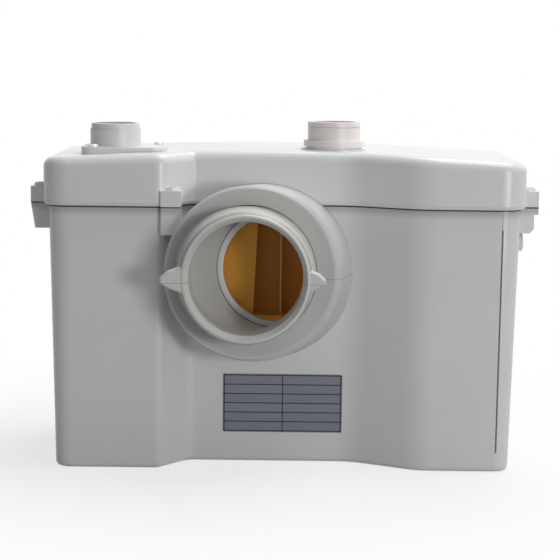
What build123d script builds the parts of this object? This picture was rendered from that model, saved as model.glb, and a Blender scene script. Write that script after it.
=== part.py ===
"""Macerator toilet pump: a moulded tank with an offset pan inlet, a crowned lid and the works inside.

Millimetres. +Z is up, the front (the side that meets the toilet pan) faces -Y, and +X is to the
right seen from the front. The origin is the middle of the tank's underside.
"""
import math
import os

from build123d import *

os.makedirs("parts", exist_ok=True)

# Tank: size of the moulding at its rim, and the draft that narrows it towards the base
tank_width = 424.0
tank_depth = 178.0
tank_height = 246.0
half_width = tank_width / 2
half_depth = tank_depth / 2
tank_wall = 3.5
tank_floor = 4.0
tank_draft = 5.0
base_round = 4.0
corner_r = 19.5

# Tank front: a recess between two lobes, with a sharp left shoulder and a long right one
recess_depth = 31.0
recess_y = recess_depth - half_depth
shoulder_lobe_x = 110.0
shoulder_recess_x = 84.0
shoulder_lobe_r = 12.0
shoulder_recess_r = 9.0
sweep_recess_x = 61.0
sweep_lobe_x = 122.0
sweep_r = 55.0
groove_x = 194.0
groove_wide = 0.9
groove_deep = 0.8
groove_low = 18.0
groove_high = 222.0

# Lid: skirt over the rim, crowned top, ledge that presses the gasket
rim_lap = 6.0
lid_seam_z = tank_height - rim_lap
lid_rise = 35.5
lid_end_z = tank_height + lid_rise
lid_crown = 7.0
lid_wall = 2.8
lid_overhang = 4.5
lid_edge_r = 9.0
lid_foot_r = 2.2
seam_gap = 1.4
seam_gap_deep = 1.6
ledge_height = 4.0
ledge_in = 6.0
gasket_height = 2.5
gasket_width = 3.0
bead_up = 2.6
bead_out = 0.35
bead_height = 0.9

# Screw lugs, on the sides, in the front shoulder and at the back
lug_out = 18.5
lug_reach = tank_width / 2 + lug_out
lug_y = -45.0
lug_width = 21.0
lug_lid_height = 14.0
lug_flange = 7.0
lug_neck = 3.8
lug_drop = 24.0
nook_left = 110.0
nook_right = 92.0
nook_front = 92.5
nook_back = 62.0
nook_drop = 25.5
back_lug_reach = 10.0
screw_head_r = 4.6
screw_head = 3.2
screw_shank_r = 2.0
screw_length = 22.0
screw_clear = 0.15

# Inlet: the pan connector's mouth, the collar's lip and the port in the tank wall
inlet_drop = 64.0
inlet_z = tank_height - inlet_drop
mouth_x = -33.0
mouth_out = 50.0
mouth_y = -half_depth - mouth_out
mouth_r = 50.0
mouth_wall = 5.2
collar_x = -28.0
collar_out = 15.0
collar_y = -half_depth - collar_out
sleeve_x = -35.0
sleeve_step = 5.3
sleeve_r = mouth_r + mouth_wall + sleeve_step
sleeve_gap = 0.8
collar_front_x = -30.0
collar_front_wide = 15.7
collar_front_r = sleeve_r + collar_front_wide
collar_shoulder = 3.2
collar_wide = 18.4
collar_r = sleeve_r + collar_wide
collar_base_x = -16.0
collar_base_wide = 20.0
collar_base_r = sleeve_r + collar_base_wide
collar_base_drop = 4.0
collar_lip = 1.8
collar_dish = 5.0
collar_edge_r = 0.8
collar_soft_r = 3.0
port_x = -6.5
port_step = 1.0
port_r = mouth_r - port_step
port_ring_wide = 8.0
port_ring_r = port_r + port_ring_wide
port_ring_out = 2.0
port_ring_in = 8.0
port_front = recess_y - port_ring_out
port_back = recess_y + port_ring_in
port_bore_step = 5.6
port_bore_r = port_r + port_bore_step
sleeve_end_wide = 10.0
sleeve_end_r = port_r + sleeve_end_wide
seal_thick = 2.0
seal_peek = 0.4
seat_gap = 0.1
mouth_edge_r = 1.4
mouth_flare = 3.6
mouth_flare_deep = 5.0
sleeve_bead_back = 9.0
sleeve_bead_wide = 1.6
sleeve_bead_out = 2.0
ear_thick = 5.0
ear_inset = 1.0
ear_left_out = 25.5
ear_left = mouth_r + ear_left_out
ear_right_out = 19.5
ear_right = mouth_r + ear_right_out
ear_slope = 20.0
ear_tip = 2.6
ear_left_root = 13.0
ear_right_root = 11.0
ear_shoulder_share = 0.72
ear_fall = 2.5

# Macerator chamber behind the port
chamber_left_more = 4.5
chamber_left = port_r - port_x + chamber_left_more
chamber_right_more = 5.5
chamber_right = port_r + port_x + chamber_right_more
chamber_deep = 42.0
chamber_back = port_back + chamber_deep
chamber_below = 52.0
chamber_low = inlet_z - chamber_below
chamber_above = 53.0
chamber_top = inlet_z + chamber_above
chamber_wall = 3.0
chamber_floor = 6.0
cheek_right_top = -23.6
cheek_right_low = -28.2
cheek_in = 6.0
cheek_y = port_back + cheek_in
cheek_wall = 3.0
rib_x = -3.0
rib_wall = 1.6
rib_in = 18.0
rib_front = port_back + rib_in
throat_in = 21.0
throat_y = port_back + throat_in
throat_r = 10.0
feed_r = 12.0
feed_z = 76.0
feed_turn_r = 12.5

# Pump axis, and the stack that stands on the tank floor
pump_x = -13.0
pump_from_back = 56.0
pump_y = half_depth - pump_from_back
fit = 0.2
running_gap = 0.05
foot_height = 6.0
foot_r = 5.0
foot_ring_r = 30.0
volute_height = 30.0
volute_wall = 3.0
volute_outer_r = 46.0
volute_start_r = 31.0
volute_growth = 3.0
outlet_r = 11.0
outlet_bore_r = 8.5
throat_bore_r = 6.0
outlet_reach = 52.0
impeller_r = 27.0
impeller_plate = 2.0
impeller_height = 12.0
impeller_hub_r = 8.0
impeller_blades = 6
impeller_blade_wall = 2.2
impeller_lift = 5.0
impeller_hub = 14.0
vane_lean = 7.0
eye_r = 14.0
shaft_r = 5.0

# Grinding basket, with slots all round, and the cutter that turns in it
basket_r = 46.0
basket_wall = 2.0
basket_height = 60.0
basket_floor = 2.0
basket_slots = 20
slot_width = 4.0
slot_height = 30.0
slot_lift = 8.0
basket_post_r = 4.6
basket_post_ring = 43.0
basket_posts = 4
carrier_r = 31.0
carrier_thick = 3.0
carrier_hub_r = 10.0
carrier_hub = 14.0
carrier_lift = 12.0
blade_length = 21.0
blade_count = 4
blade_width = 11.0
blade_thick = 2.4
blade_root = 10.2
blade_rise = 9.0
blade_bevel = 1.6

# Motor
flange_r = 49.0
flange_thick = 6.0
motor_r = 38.0
motor_wall = 2.0
motor_height = 108.0
end_cap_height = 13.0
bearing_r = 13.0
bearing_width = 8.0
bearing_wall = 3.4
shaft_seal_r = 11.0
shaft_seal_height = 4.0
stator_bore_r = 23.0
stator_slots = 12
stator_slot_r = 3.2
stator_slot_ring = 28.5
stator_height = 62.0
stator_lift = 16.0
rotor_r = 22.4
rotor_height = 58.0
rotor_slots = 18
rotor_slot_r = 1.2
rotor_slot_ring = 20.0
coil_height = 9.0
coil_in = 25.0
coil_out = 34.0
motor_screw_r = 2.0
motor_screw_head_r = 3.6
motor_screw_head = 3.0
motor_screw_length = 16.0

# Discharge: riser, non-return valve and the spigot on the left of the lid
spigot_from_side = 56.5
spigot_x = spigot_from_side - half_width
spigot_y = -34.0
pad_up = 5.5
pad_top = lid_end_z + pad_up
pad_sink = 2.5
pad_low = lid_end_z - pad_sink
valve_r = 29.0
valve_hang = 43.5
valve_low = lid_end_z - valve_hang
valve_floor = 8.0
valve_bore_r = 26.0
seat_bore_r = 11.0
disc_r = 17.0
disc_thick = 2.0
disc_pin_r = 1.5
disc_pin_back = 20.0
disc_knuckle_r = 2.6
disc_knuckle = 10.0
pin_boss = 4.0
spigot_r = 23.0
spigot_bore_r = 19.0
spigot_height = 24.0
spigot_top = pad_top + spigot_height
spigot_band = 5.0
spigot_band_in = 1.0
plate_left = 29.0
plate_right = 47.0
plate_front = 31.0
plate_back = 33.0
plate_thick = 3.4
plate_r = 12.0
plate_screw_left = 17.0
plate_screw_front = 26.0
plate_screw_right = 38.0
plate_screw_back = 24.0
plate_screw_r = 4.0
plate_screw_head = 2.4
plate_screw_deep = 8.0
plate_shank_r = 1.8
riser_turn_in = 30.5
riser_turn_x = spigot_x + riser_turn_in
riser_turn_r = 30.0
riser_foot_r = 24.0

# Auxiliary inlet: spigot on the middle of the lid, elbow and flap under it
aux_x = 44.5
aux_y = -24.0
aux_pad_r = 30.0
aux_pad_up = 8.0
aux_pad_top = lid_end_z + aux_pad_up
aux_pad_thick = 6.5
aux_pad_low = aux_pad_top - aux_pad_thick
aux_r = 24.0
aux_bore_r = 19.5
aux_height = 24.5
aux_top = aux_pad_top + aux_height
aux_ring_r = 27.6
aux_ring_lift = 2.0
aux_ring_low = aux_pad_top + aux_ring_lift
aux_ring_thick = 5.5
aux_ring_high = aux_ring_low + aux_ring_thick
aux_base_r = 25.6
aux_band = 5.0
aux_groove = 0.5
elbow_r = 21.0
elbow_bore_r = 18.5
elbow_hang = 25.0
elbow_z = lid_end_z - elbow_hang
elbow_end_x = 82.0
elbow_turn_r = 23.0
elbow_flange_r = 26.0
elbow_flange = 2.5
flap_r = 20.5
flap_thick = 2.0
flap_gap = 0.3
flap_pin_up = 23.0
flap_pin_r = 1.5
flap_knuckle_r = 2.6
flap_knuckle = 12.0
flap_ear = 3.0

# Level sensing and electrics, in the right lobe
bell_from_side = 74.0
bell_x = half_width - bell_from_side
bell_y = 18.0
bell_r = 19.0
bell_wall = 2.2
bell_top = 150.0
bell_notch = 8.0
bell_notch_height = 12.0
cup_r = 26.0
cup_wall = 2.5
cup_height = 26.0
diaphragm_r = 22.5
diaphragm_thick = 1.2
diaphragm_lift = 12.0
plunger_r = 4.0
plunger_plate_r = 12.0
plunger_plate = 2.0
plunger_top_gap = 0.3
box_from_side = 20.0
box_length = 106.0
box_right = half_width - box_from_side
box_left = box_right - box_length
box_front = -48.0
box_back = 74.0
box_wall = 2.5
box_height = 52.0
box_corner_r = 6.0
box_cover = 3.0
box_lip = 2.0
plunger_rise = 5.0
plunger_tip_r = 1.5
plunger_tip = 2.0
lever_length = 22.0
lever_width = 8.0
lever_thick = 1.2
lever_pin_r = 1.2
lever_pin_back = 16.0
lever_knuckle_r = 2.4
switch_length = 30.0
switch_width = 11.0
switch_height = 16.0
switch_left = 14.0
button_r = 1.8
button_back = 8.0
button_height = 3.0
button_deep = 4.0
button_slot = 6.0
bracket_wall = 2.0
bracket_left = 19.5
bracket_right = 16.0
board_length = 70.0
board_width = 34.0
board_thick = 1.6
board_lift = 6.0
board_post_r = 3.0
board_inset = 4.0
relay_length = 19.0
relay_width = 15.0
relay_height = 14.0
terminal_length = 30.0
terminal_width = 9.0
terminal_height = 11.0
board_y = -22.0
capacitor_y = 54.0
capacitor_r = 14.0
capacitor_length = 52.0
clip_width = 12.0
clip_wall = 1.6
gland_y = -45.0
gland_drop = 39.0
gland_z = tank_height - gland_drop
gland_r = 8.3
gland_out = 6.5
gland_body_r = 6.6
gland_bore_r = 3.6
gland_nut_r = 10.0
gland_nut = 5.0
gland_in = 9.0
pad_foot_r = 11.0
pad_foot_deep = 2.0
pad_foot_from_side = 27.0
pad_foot_x = half_width - pad_foot_from_side
pad_foot_from_front = 31.0
pad_foot_y = half_depth - pad_foot_from_front
overrun = 2.0



def draft_at(height):
    """How far the tank's outside has moved in at this height, from zero at the rim."""
    return tank_draft * (tank_height - height) / tank_height


def crown_at(x):
    """Height of the lid's top over x."""
    half_lid = half_width + lid_overhang
    return lid_end_z + lid_crown * (1 - (x / half_lid) ** 2)


def grown_plan(grow):
    """The tank's plan at its rim, grown or shrunk, as a flat sketch."""
    corners = [
        (-half_width, half_depth),
        (-half_width, -half_depth),
        (-shoulder_lobe_x, -half_depth),
        (-shoulder_recess_x, recess_y),
        (sweep_recess_x, recess_y),
        (sweep_lobe_x, -half_depth),
        (half_width, -half_depth),
        (half_width, half_depth),
    ]
    radii = [corner_r, corner_r, shoulder_lobe_r, shoulder_recess_r, sweep_r, sweep_r, corner_r, corner_r]
    with BuildSketch() as plan:
        with BuildLine():
            FilletPolyline(*corners, radius=radii, close=True)
        make_face()
        if grow:
            offset(amount=grow, kind=Kind.INTERSECTION)
    return plan.sketch


def body_outline(height, grow):
    """The grown or shrunk plan as a sketch at this height."""
    with BuildSketch(Plane.XY.offset(height)) as plan:
        add(grown_plan(grow))
    return plan.sketch


def disc(radius, x, y, z, normal=(0, 0, 1)):
    """A round sketch of this radius, square to the normal."""
    with BuildSketch(Plane(origin=(x, y, z), z_dir=normal)) as round_face:
        Circle(radius)
    return round_face.sketch


def post(radius, low, high, places, mode=Mode.ADD):
    """Upright round posts or holes from low to high, one at each place."""
    with Locations(*[(x, y, low) for x, y in places]):
        Cylinder(radius, high - low, align=(Align.CENTER, Align.CENTER, Align.MIN), mode=mode)


def block(x_span, y_span, z_span, mode=Mode.ADD):
    """A block or a cut-out that fills these spans."""
    middle = [sum(span) / 2 for span in (x_span, y_span, z_span)]
    with Locations(tuple(middle)):
        Box(*[span[1] - span[0] for span in (x_span, y_span, z_span)], mode=mode)


def ring_around(x, y, radius, count, turn=0):
    """Places evenly round a centre."""
    angles = [math.radians(turn + 360 * step / count) for step in range(count)]
    return [(x + radius * math.cos(a), y + radius * math.sin(a)) for a in angles]


def facing(radius, x, y, drop=0):
    """A round sketch that faces the front, at the inlet's height or lower by drop."""
    return disc(radius, x, y, inlet_z - drop, (0, -1, 0))


# Outer edges of the two side lugs: a plain taper on the left, a flange and a boss on the right
boss_reach = lug_reach - lug_neck
lug_edges = (
    (-1, [(lug_reach, 0), (boss_reach, lug_drop)]),
    (
        1,
        [
            (lug_reach, 0),
            (lug_reach, lug_flange),
            (boss_reach, lug_flange),
            (boss_reach, lug_drop - lug_neck),
            (boss_reach - lug_neck, lug_drop),
        ],
    ),
)

# Outside of the tank, before it is hollowed: body, seam, groove and lugs
with BuildPart() as tank_envelope:
    loft([body_outline(0, -draft_at(0)), body_outline(tank_height, 0)], ruled=True)
    fillet(tank_envelope.edges().group_by(Axis.Z)[0], base_round)
    with BuildSketch(Plane.XY.offset(lid_seam_z - seam_gap)):
        add(grown_plan(lid_overhang))
        add(grown_plan(-seam_gap_deep), mode=Mode.SUBTRACT)
    extrude(amount=seam_gap, mode=Mode.SUBTRACT)
    with BuildSketch(Plane.YZ.offset(groove_x)):
        with BuildLine():
            Polyline(
                (draft_at(groove_low) - half_depth - overrun, groove_low),
                (draft_at(groove_low) - half_depth + groove_deep, groove_low),
                (draft_at(groove_high) - half_depth + groove_deep, groove_high),
                (draft_at(groove_high) - half_depth - overrun, groove_high),
                close=True,
            )
        make_face()
    extrude(amount=groove_wide, mode=Mode.SUBTRACT)
    for side, edge in lug_edges:
        with BuildSketch(Plane.XZ.offset(-lug_y - lug_width / 2)):
            with BuildLine():
                Polyline(
                    (side * (half_width - tank_wall), lid_seam_z),
                    *[(side * x, lid_seam_z - down) for x, down in edge],
                    (side * (half_width - tank_wall), lid_seam_z - lug_drop),
                    close=True,
                )
            make_face()
        extrude(amount=lug_width)
    with BuildSketch(Plane.XY.offset(lid_seam_z - nook_drop)):
        with BuildLine():
            Polyline(
                (-nook_left, -nook_front),
                (-nook_right, -nook_front),
                (-nook_right, -nook_back),
                (-nook_left, -nook_back),
                close=True,
            )
        make_face()
    extrude(amount=nook_drop)
    with BuildSketch(Plane.YZ.offset(-lug_width / 2)):
        with BuildLine():
            Polyline(
                (half_depth - tank_wall, lid_seam_z),
                (half_depth + back_lug_reach, lid_seam_z),
                (half_depth + back_lug_reach, lid_seam_z - lug_flange),
                (half_depth - tank_wall, lid_seam_z - lug_drop),
                close=True,
            )
        make_face()
    extrude(amount=lug_width)

side_screw_x = lug_reach - lug_neck - screw_head_r - screw_clear
nook_screw_x = -(nook_left + nook_right) / 2
nook_screw_y = -nook_front + screw_head_r + lid_wall
back_screw_y = half_depth + lid_overhang + screw_shank_r
screw_places = [
    (-side_screw_x, lug_y),
    (side_screw_x, lug_y),
    (nook_screw_x, nook_screw_y),
    (0, back_screw_y),
]
screw_top = lid_seam_z + lug_lid_height - screw_head
screw_low = screw_top - screw_length

foot_places = [(sx * pad_foot_x, sy * pad_foot_y) for sx in (-1, 1) for sy in (-1, 1)]

# Tank shell: the envelope hollowed, with the port ring, the gland hole and the pilot holes
with BuildPart() as tank_shell:
    add(tank_envelope)
    loft(
        [
            body_outline(tank_floor, -tank_wall - draft_at(tank_floor)),
            body_outline(tank_height, -tank_wall),
        ],
        ruled=True,
        mode=Mode.SUBTRACT,
    )
    with BuildSketch(Plane.XZ.offset(-port_back)):
        with Locations((port_x, inlet_z)):
            Circle(port_ring_r)
    extrude(amount=port_back - port_front)
    with BuildSketch(Plane.XZ.offset(-port_back - overrun)):
        with Locations((port_x, inlet_z)):
            Circle(port_r)
    extrude(amount=port_back - port_front + 2 * overrun, mode=Mode.SUBTRACT)
    post(screw_shank_r + screw_clear, screw_low - overrun, lid_seam_z, screw_places, Mode.SUBTRACT)
    extrude(
        disc(gland_body_r + fit, half_width + overrun, gland_y, gland_z, (-1, 0, 0)),
        amount=tank_wall + tank_draft + 2 * overrun,
        mode=Mode.SUBTRACT,
    )
    post(pad_foot_r + fit, 0, pad_foot_deep, foot_places, Mode.SUBTRACT)
tank_shell.part.label = "tank_shell"
export_step(tank_shell.part, "parts/tank_shell.step")

# Anti-slip pads, pressed into pockets under the base
with BuildPart() as base_pads:
    post(pad_foot_r, 0, pad_foot_deep, foot_places)
base_pads.part.label = "base_pads"
export_step(base_pads.part, "parts/base_pads.step")

# Collar: a leaning ring on the recess wall, dished inside its lip
collar_root_y = recess_y + tank_wall + overrun
collar_shoulder_y = collar_y + collar_shoulder
with BuildPart() as collar_block:
    loft(
        [
            facing(collar_front_r, collar_front_x, collar_y),
            facing(collar_r, collar_x, collar_shoulder_y),
        ]
    )
    loft(
        [
            facing(collar_r, collar_x, collar_shoulder_y),
            facing(collar_base_r, collar_base_x, collar_root_y, collar_base_drop),
        ]
    )
    shoulder_edges = collar_block.edges().filter_by_position(
        Axis.Y, collar_shoulder_y - seat_gap, collar_shoulder_y + seat_gap
    )
    fillet(shoulder_edges, collar_soft_r)
    fillet(collar_block.edges().group_by(Axis.Y)[0], collar_edge_r)

sleeve_rear = port_front - seal_thick - seat_gap
with BuildPart() as sleeve_space:
    extrude(facing(sleeve_r + sleeve_gap, sleeve_x, collar_y), amount=overrun)
    loft(
        [
            facing(sleeve_r + sleeve_gap, sleeve_x, collar_y),
            facing(sleeve_end_r + sleeve_gap, port_x, sleeve_rear),
        ]
    )
    extrude(
        facing(sleeve_end_r + sleeve_gap, port_x, collar_root_y + overrun),
        amount=collar_root_y + overrun - sleeve_rear,
    )

with BuildPart() as inlet_collar:
    add(collar_block)
    loft(
        [
            facing(collar_front_r - collar_lip, collar_front_x, collar_y - seat_gap),
            facing(sleeve_r + collar_lip, sleeve_x, collar_y + collar_dish),
        ],
        mode=Mode.SUBTRACT,
    )
    add(sleeve_space, mode=Mode.SUBTRACT)
    add(tank_envelope, mode=Mode.SUBTRACT)
inlet_collar.part.label = "inlet_collar"
export_step(inlet_collar.part, "parts/inlet_collar.step")

# Pan connector: a round sleeve with a lip in front, two pull ears, and an offset tail to the port
with BuildPart() as pan_connector:
    loft([facing(mouth_r + mouth_wall, mouth_x, mouth_y), facing(sleeve_r, sleeve_x, collar_y)])
    fillet(pan_connector.edges().group_by(Axis.Y)[0], mouth_edge_r)
    loft([facing(sleeve_r, sleeve_x, collar_y), facing(sleeve_end_r, port_x, sleeve_rear)])
    for side, reach, root in ((-1, ear_left, ear_left_root), (1, ear_right, ear_right_root)):
        inner_x = mouth_x + side * (mouth_r + ear_inset)
        shoulder_x = mouth_x + side * (mouth_r + (reach - mouth_r) * ear_shoulder_share)
        with BuildSketch(Plane.XZ.offset(-mouth_y - ear_inset - ear_thick)):
            with BuildLine():
                Polyline(
                    (inner_x, inlet_z + root),
                    (shoulder_x, inlet_z + root / 2),
                    (mouth_x + side * reach, inlet_z + ear_tip - ear_fall),
                    (mouth_x + side * reach, inlet_z - ear_tip - ear_fall),
                    (shoulder_x, inlet_z - root / 2 - ear_fall),
                    (inner_x, inlet_z - root - ear_fall),
                    close=True,
                )
            make_face()
        extrude(amount=ear_thick, taper=ear_slope)
    extrude(
        facing(mouth_r + mouth_wall + sleeve_bead_out, mouth_x, mouth_y + sleeve_bead_back),
        amount=sleeve_bead_wide,
    )
    extrude(
        facing(mouth_r, mouth_x, collar_y),
        amount=collar_y - mouth_y + overrun,
        mode=Mode.SUBTRACT,
    )
    loft(
        [
            facing(mouth_r + mouth_flare, mouth_x, mouth_y - seat_gap),
            facing(mouth_r, mouth_x, mouth_y + mouth_flare_deep),
        ],
        mode=Mode.SUBTRACT,
    )
    loft([facing(mouth_r, mouth_x, collar_y), facing(port_bore_r, port_x, sleeve_rear)], mode=Mode.SUBTRACT)
pan_connector.part.label = "pan_connector"
export_step(pan_connector.part, "parts/pan_connector.step")

# Port seal: the ring that the connector's tail presses on
with BuildPart() as port_seal:
    with BuildSketch(Plane.XZ.offset(-port_front)):
        with Locations((port_x, inlet_z)):
            Circle(port_ring_r)
            Circle(port_bore_r - seal_peek, mode=Mode.SUBTRACT)
    extrude(amount=seal_thick)
port_seal.part.label = "port_seal"
export_step(port_seal.part, "parts/port_seal.step")

# Gasket on the tank's rim
with BuildPart() as lid_gasket:
    with BuildSketch(Plane.XY.offset(tank_height)):
        add(grown_plan(-fit))
        add(grown_plan(-fit - gasket_width), mode=Mode.SUBTRACT)
    extrude(amount=gasket_height)
    add(collar_block, mode=Mode.SUBTRACT)
lid_gasket.part.label = "lid_gasket"
export_step(lid_gasket.part, "parts/lid_gasket.step")


def plate_outline(height):
    """The discharge flange's rounded plan at this height."""
    with BuildSketch(Plane.XY.offset(height)) as plan:
        middle_x = spigot_x + (plate_right - plate_left) / 2
        middle_y = spigot_y + (plate_back - plate_front) / 2
        with Locations((middle_x, middle_y)):
            RectangleRounded(plate_left + plate_right, plate_front + plate_back, plate_r)
    return plan.sketch


plate_screws = [
    (spigot_x - plate_screw_left, spigot_y - plate_screw_front),
    (spigot_x + plate_screw_right, spigot_y + plate_screw_back),
]
plate_top = pad_top + plate_thick
plate_screw_low = plate_top - plate_screw_deep


def crowned_block(grow, low, drop):
    """The lid's plan from low up to its crown, lowered by drop."""
    half_lid = half_width + lid_overhang
    with BuildPart() as block:
        extrude(body_outline(low, grow), amount=lid_end_z + lid_crown - low)
        with BuildSketch(Plane.XZ):
            with BuildLine():
                ThreePointArc(
                    (-half_lid, lid_end_z - drop),
                    (0, lid_end_z + lid_crown - drop),
                    (half_lid, lid_end_z - drop),
                )
                Polyline(
                    (half_lid, lid_end_z - drop),
                    (half_lid, low),
                    (-half_lid, low),
                    (-half_lid, lid_end_z - drop),
                )
            make_face()
        extrude(amount=tank_depth, both=True, mode=Mode.INTERSECT)
    return block


# Lid: skirt, crowned top, lugs, pads for the two spigots, and the notch round the collar
ledge_z = tank_height + gasket_height
with BuildPart() as lid_cover:
    add(crowned_block(lid_overhang, lid_seam_z, 0))
    crown_edges = lid_cover.edges().filter_by_position(Axis.Z, lid_end_z - lid_wall, lid_end_z + lid_crown)
    fillet(crown_edges, lid_edge_r)
    fillet(lid_cover.edges().group_by(Axis.Z)[0], lid_foot_r)
    extrude(body_outline(lid_seam_z + bead_up, lid_overhang + bead_out), amount=bead_height)
    for side in (-1, 1):
        with BuildSketch(Plane.XY.offset(lid_seam_z)):
            with Locations((side * (half_width + lid_overhang - lid_wall / 2 + lug_reach) / 2, lug_y)):
                Rectangle(lug_reach - half_width - lid_overhang + lid_wall / 2, lug_width)
        extrude(amount=lug_lid_height)
    with BuildSketch(Plane.XY.offset(lid_seam_z)):
        with BuildLine():
            Polyline(
                (-nook_left, -nook_front - lid_wall),
                (-nook_right, -nook_front - lid_wall),
                (-nook_right, -nook_back),
                (-nook_left, -nook_back - recess_depth / 2),
                close=True,
            )
        make_face()
    extrude(amount=lug_lid_height)
    with BuildSketch(Plane.XY.offset(lid_seam_z)):
        with Locations((0, half_depth + (lid_overhang - lid_wall / 2 + back_lug_reach) / 2)):
            Rectangle(lug_width, back_lug_reach - lid_overhang + lid_wall / 2)
    extrude(amount=lug_lid_height)
    add(crowned_block(lid_overhang - lid_wall, lid_seam_z, lid_wall), mode=Mode.SUBTRACT)
    with BuildSketch(Plane.XY.offset(ledge_z)):
        add(grown_plan(lid_overhang - lid_wall / 2))
        add(grown_plan(-ledge_in), mode=Mode.SUBTRACT)
    extrude(amount=ledge_height)
    extrude(plate_outline(pad_low), amount=pad_top - pad_low)
    post(aux_pad_r, aux_pad_low, aux_pad_top, [(aux_x, aux_y)])
    post(spigot_bore_r, pad_low - overrun, pad_top + overrun, [(spigot_x, spigot_y)], Mode.SUBTRACT)
    post(aux_bore_r, aux_pad_low - overrun, aux_pad_top + overrun, [(aux_x, aux_y)], Mode.SUBTRACT)
    post(plate_shank_r + screw_clear, plate_screw_low, pad_top + overrun, plate_screws, Mode.SUBTRACT)
    post(screw_shank_r + screw_clear, lid_seam_z - overrun, screw_top + overrun, screw_places, Mode.SUBTRACT)
    post(screw_head_r + screw_clear, screw_top, screw_top + screw_head + overrun, screw_places, Mode.SUBTRACT)
    loft(
        [
            facing(collar_r + fit, collar_x, collar_shoulder_y),
            facing(collar_base_r + fit, collar_base_x, collar_root_y, collar_base_drop),
        ],
        mode=Mode.SUBTRACT,
    )
lid_cover.part.label = "lid_cover"
export_step(lid_cover.part, "parts/lid_cover.step")

# Lid screws, one in each lug
with BuildPart() as lid_screws:
    post(screw_head_r, screw_top, screw_top + screw_head, screw_places)
    post(screw_shank_r, screw_low, screw_top, screw_places)
lid_screws.part.label = "lid_screws"
export_step(lid_screws.part, "parts/lid_screws.step")

# Macerator chamber: an amber box behind the port, with a cheek, a rib and the throat in its floor
chamber_front = port_back
chamber_base = chamber_low + chamber_floor
with BuildPart() as macerator_chamber:
    block((-chamber_left, chamber_right), (chamber_front, chamber_back), (chamber_low, chamber_top))
    block(
        (chamber_wall - chamber_left, chamber_right - chamber_wall),
        (chamber_front + chamber_wall, chamber_back - chamber_wall),
        (chamber_base, chamber_top - chamber_wall),
        Mode.SUBTRACT,
    )
    extrude(
        facing(port_r, port_x, chamber_front + chamber_wall),
        amount=chamber_wall + overrun,
        mode=Mode.SUBTRACT,
    )
    with BuildSketch(Plane.XZ.offset(-cheek_y - cheek_wall)):
        with BuildLine():
            Polyline(
                (chamber_wall - chamber_left, chamber_base),
                (cheek_right_low, chamber_base),
                (cheek_right_top, chamber_top - chamber_wall),
                (chamber_wall - chamber_left, chamber_top - chamber_wall),
                close=True,
            )
        make_face()
    extrude(amount=cheek_wall)
    block(
        (rib_x - rib_wall / 2, rib_x + rib_wall / 2),
        (rib_front, chamber_back - chamber_wall),
        (chamber_base, chamber_top - chamber_wall),
    )
    post(throat_r, chamber_low, chamber_base, [(pump_x, throat_y)], Mode.SUBTRACT)
macerator_chamber.part.label = "macerator_chamber"
export_step(macerator_chamber.part, "parts/macerator_chamber.step")

# Feed elbow: from the throat down and back into the basket
feed_end_y = pump_y - basket_r - fit
with BuildPart() as feed_elbow:
    with BuildLine():
        FilletPolyline(
            (pump_x, throat_y, chamber_low),
            (pump_x, throat_y, feed_z),
            (pump_x, feed_end_y, feed_z),
            radius=feed_turn_r,
        )
    with BuildSketch(Plane(origin=(pump_x, throat_y, chamber_low), z_dir=(0, 0, -1))):
        Circle(feed_r)
        Circle(throat_r, mode=Mode.SUBTRACT)
    sweep()
feed_elbow.part.label = "feed_elbow"
export_step(feed_elbow.part, "parts/feed_elbow.step")

pump_axis = [(pump_x, pump_y)]
volute_low = tank_floor + foot_height
volute_top = volute_low + volute_height
basket_top = volute_top + basket_height
flange_top = basket_top + flange_thick
post_places = ring_around(pump_x, pump_y, basket_post_ring, basket_posts, 45)

# Volute: a spiral made of quarter arcs whose radii grow by one step each, with its outlet to the left
spiral_plane = Plane(
    origin=(pump_x, pump_y, volute_top - volute_wall), x_dir=(0, -1, 0), z_dir=(0, 0, -1)
)
throat_inner = volute_start_r
throat_outer = volute_start_r + 4 * volute_growth
outlet_y = pump_y - (throat_inner + throat_outer) / 2
outlet_z = (volute_low + volute_top) / 2
with BuildPart() as volute_casing:
    post(volute_outer_r, volute_low, volute_top, pump_axis)
    post(foot_r, tank_floor, volute_low, ring_around(pump_x, pump_y, foot_ring_r, 3))
    block(
        (pump_x - outlet_reach, pump_x),
        (pump_y - volute_outer_r, pump_y - throat_inner + volute_wall),
        (volute_low, volute_top),
    )
    with BuildSketch(spiral_plane):
        with BuildLine():
            center_x = 0
            center_y = 0
            for quarter in range(4):
                arc_r = volute_start_r + quarter * volute_growth
                CenterArc((center_x, center_y), arc_r, 90 * quarter, 90)
                turn = math.radians(90 * (quarter + 1))
                center_x -= volute_growth * round(math.cos(turn))
                center_y -= volute_growth * round(math.sin(turn))
            Line((throat_outer, 0), (throat_inner, 0))
        make_face()
    extrude(amount=volute_height - 2 * volute_wall, mode=Mode.SUBTRACT)
    extrude(
        disc(throat_bore_r, pump_x, outlet_y, outlet_z, (-1, 0, 0)),
        amount=outlet_reach + overrun,
        mode=Mode.SUBTRACT,
    )
    post(eye_r, volute_top - volute_wall, volute_top, pump_axis, Mode.SUBTRACT)
volute_casing.part.label = "volute_casing"
export_step(volute_casing.part, "parts/volute_casing.step")

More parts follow.
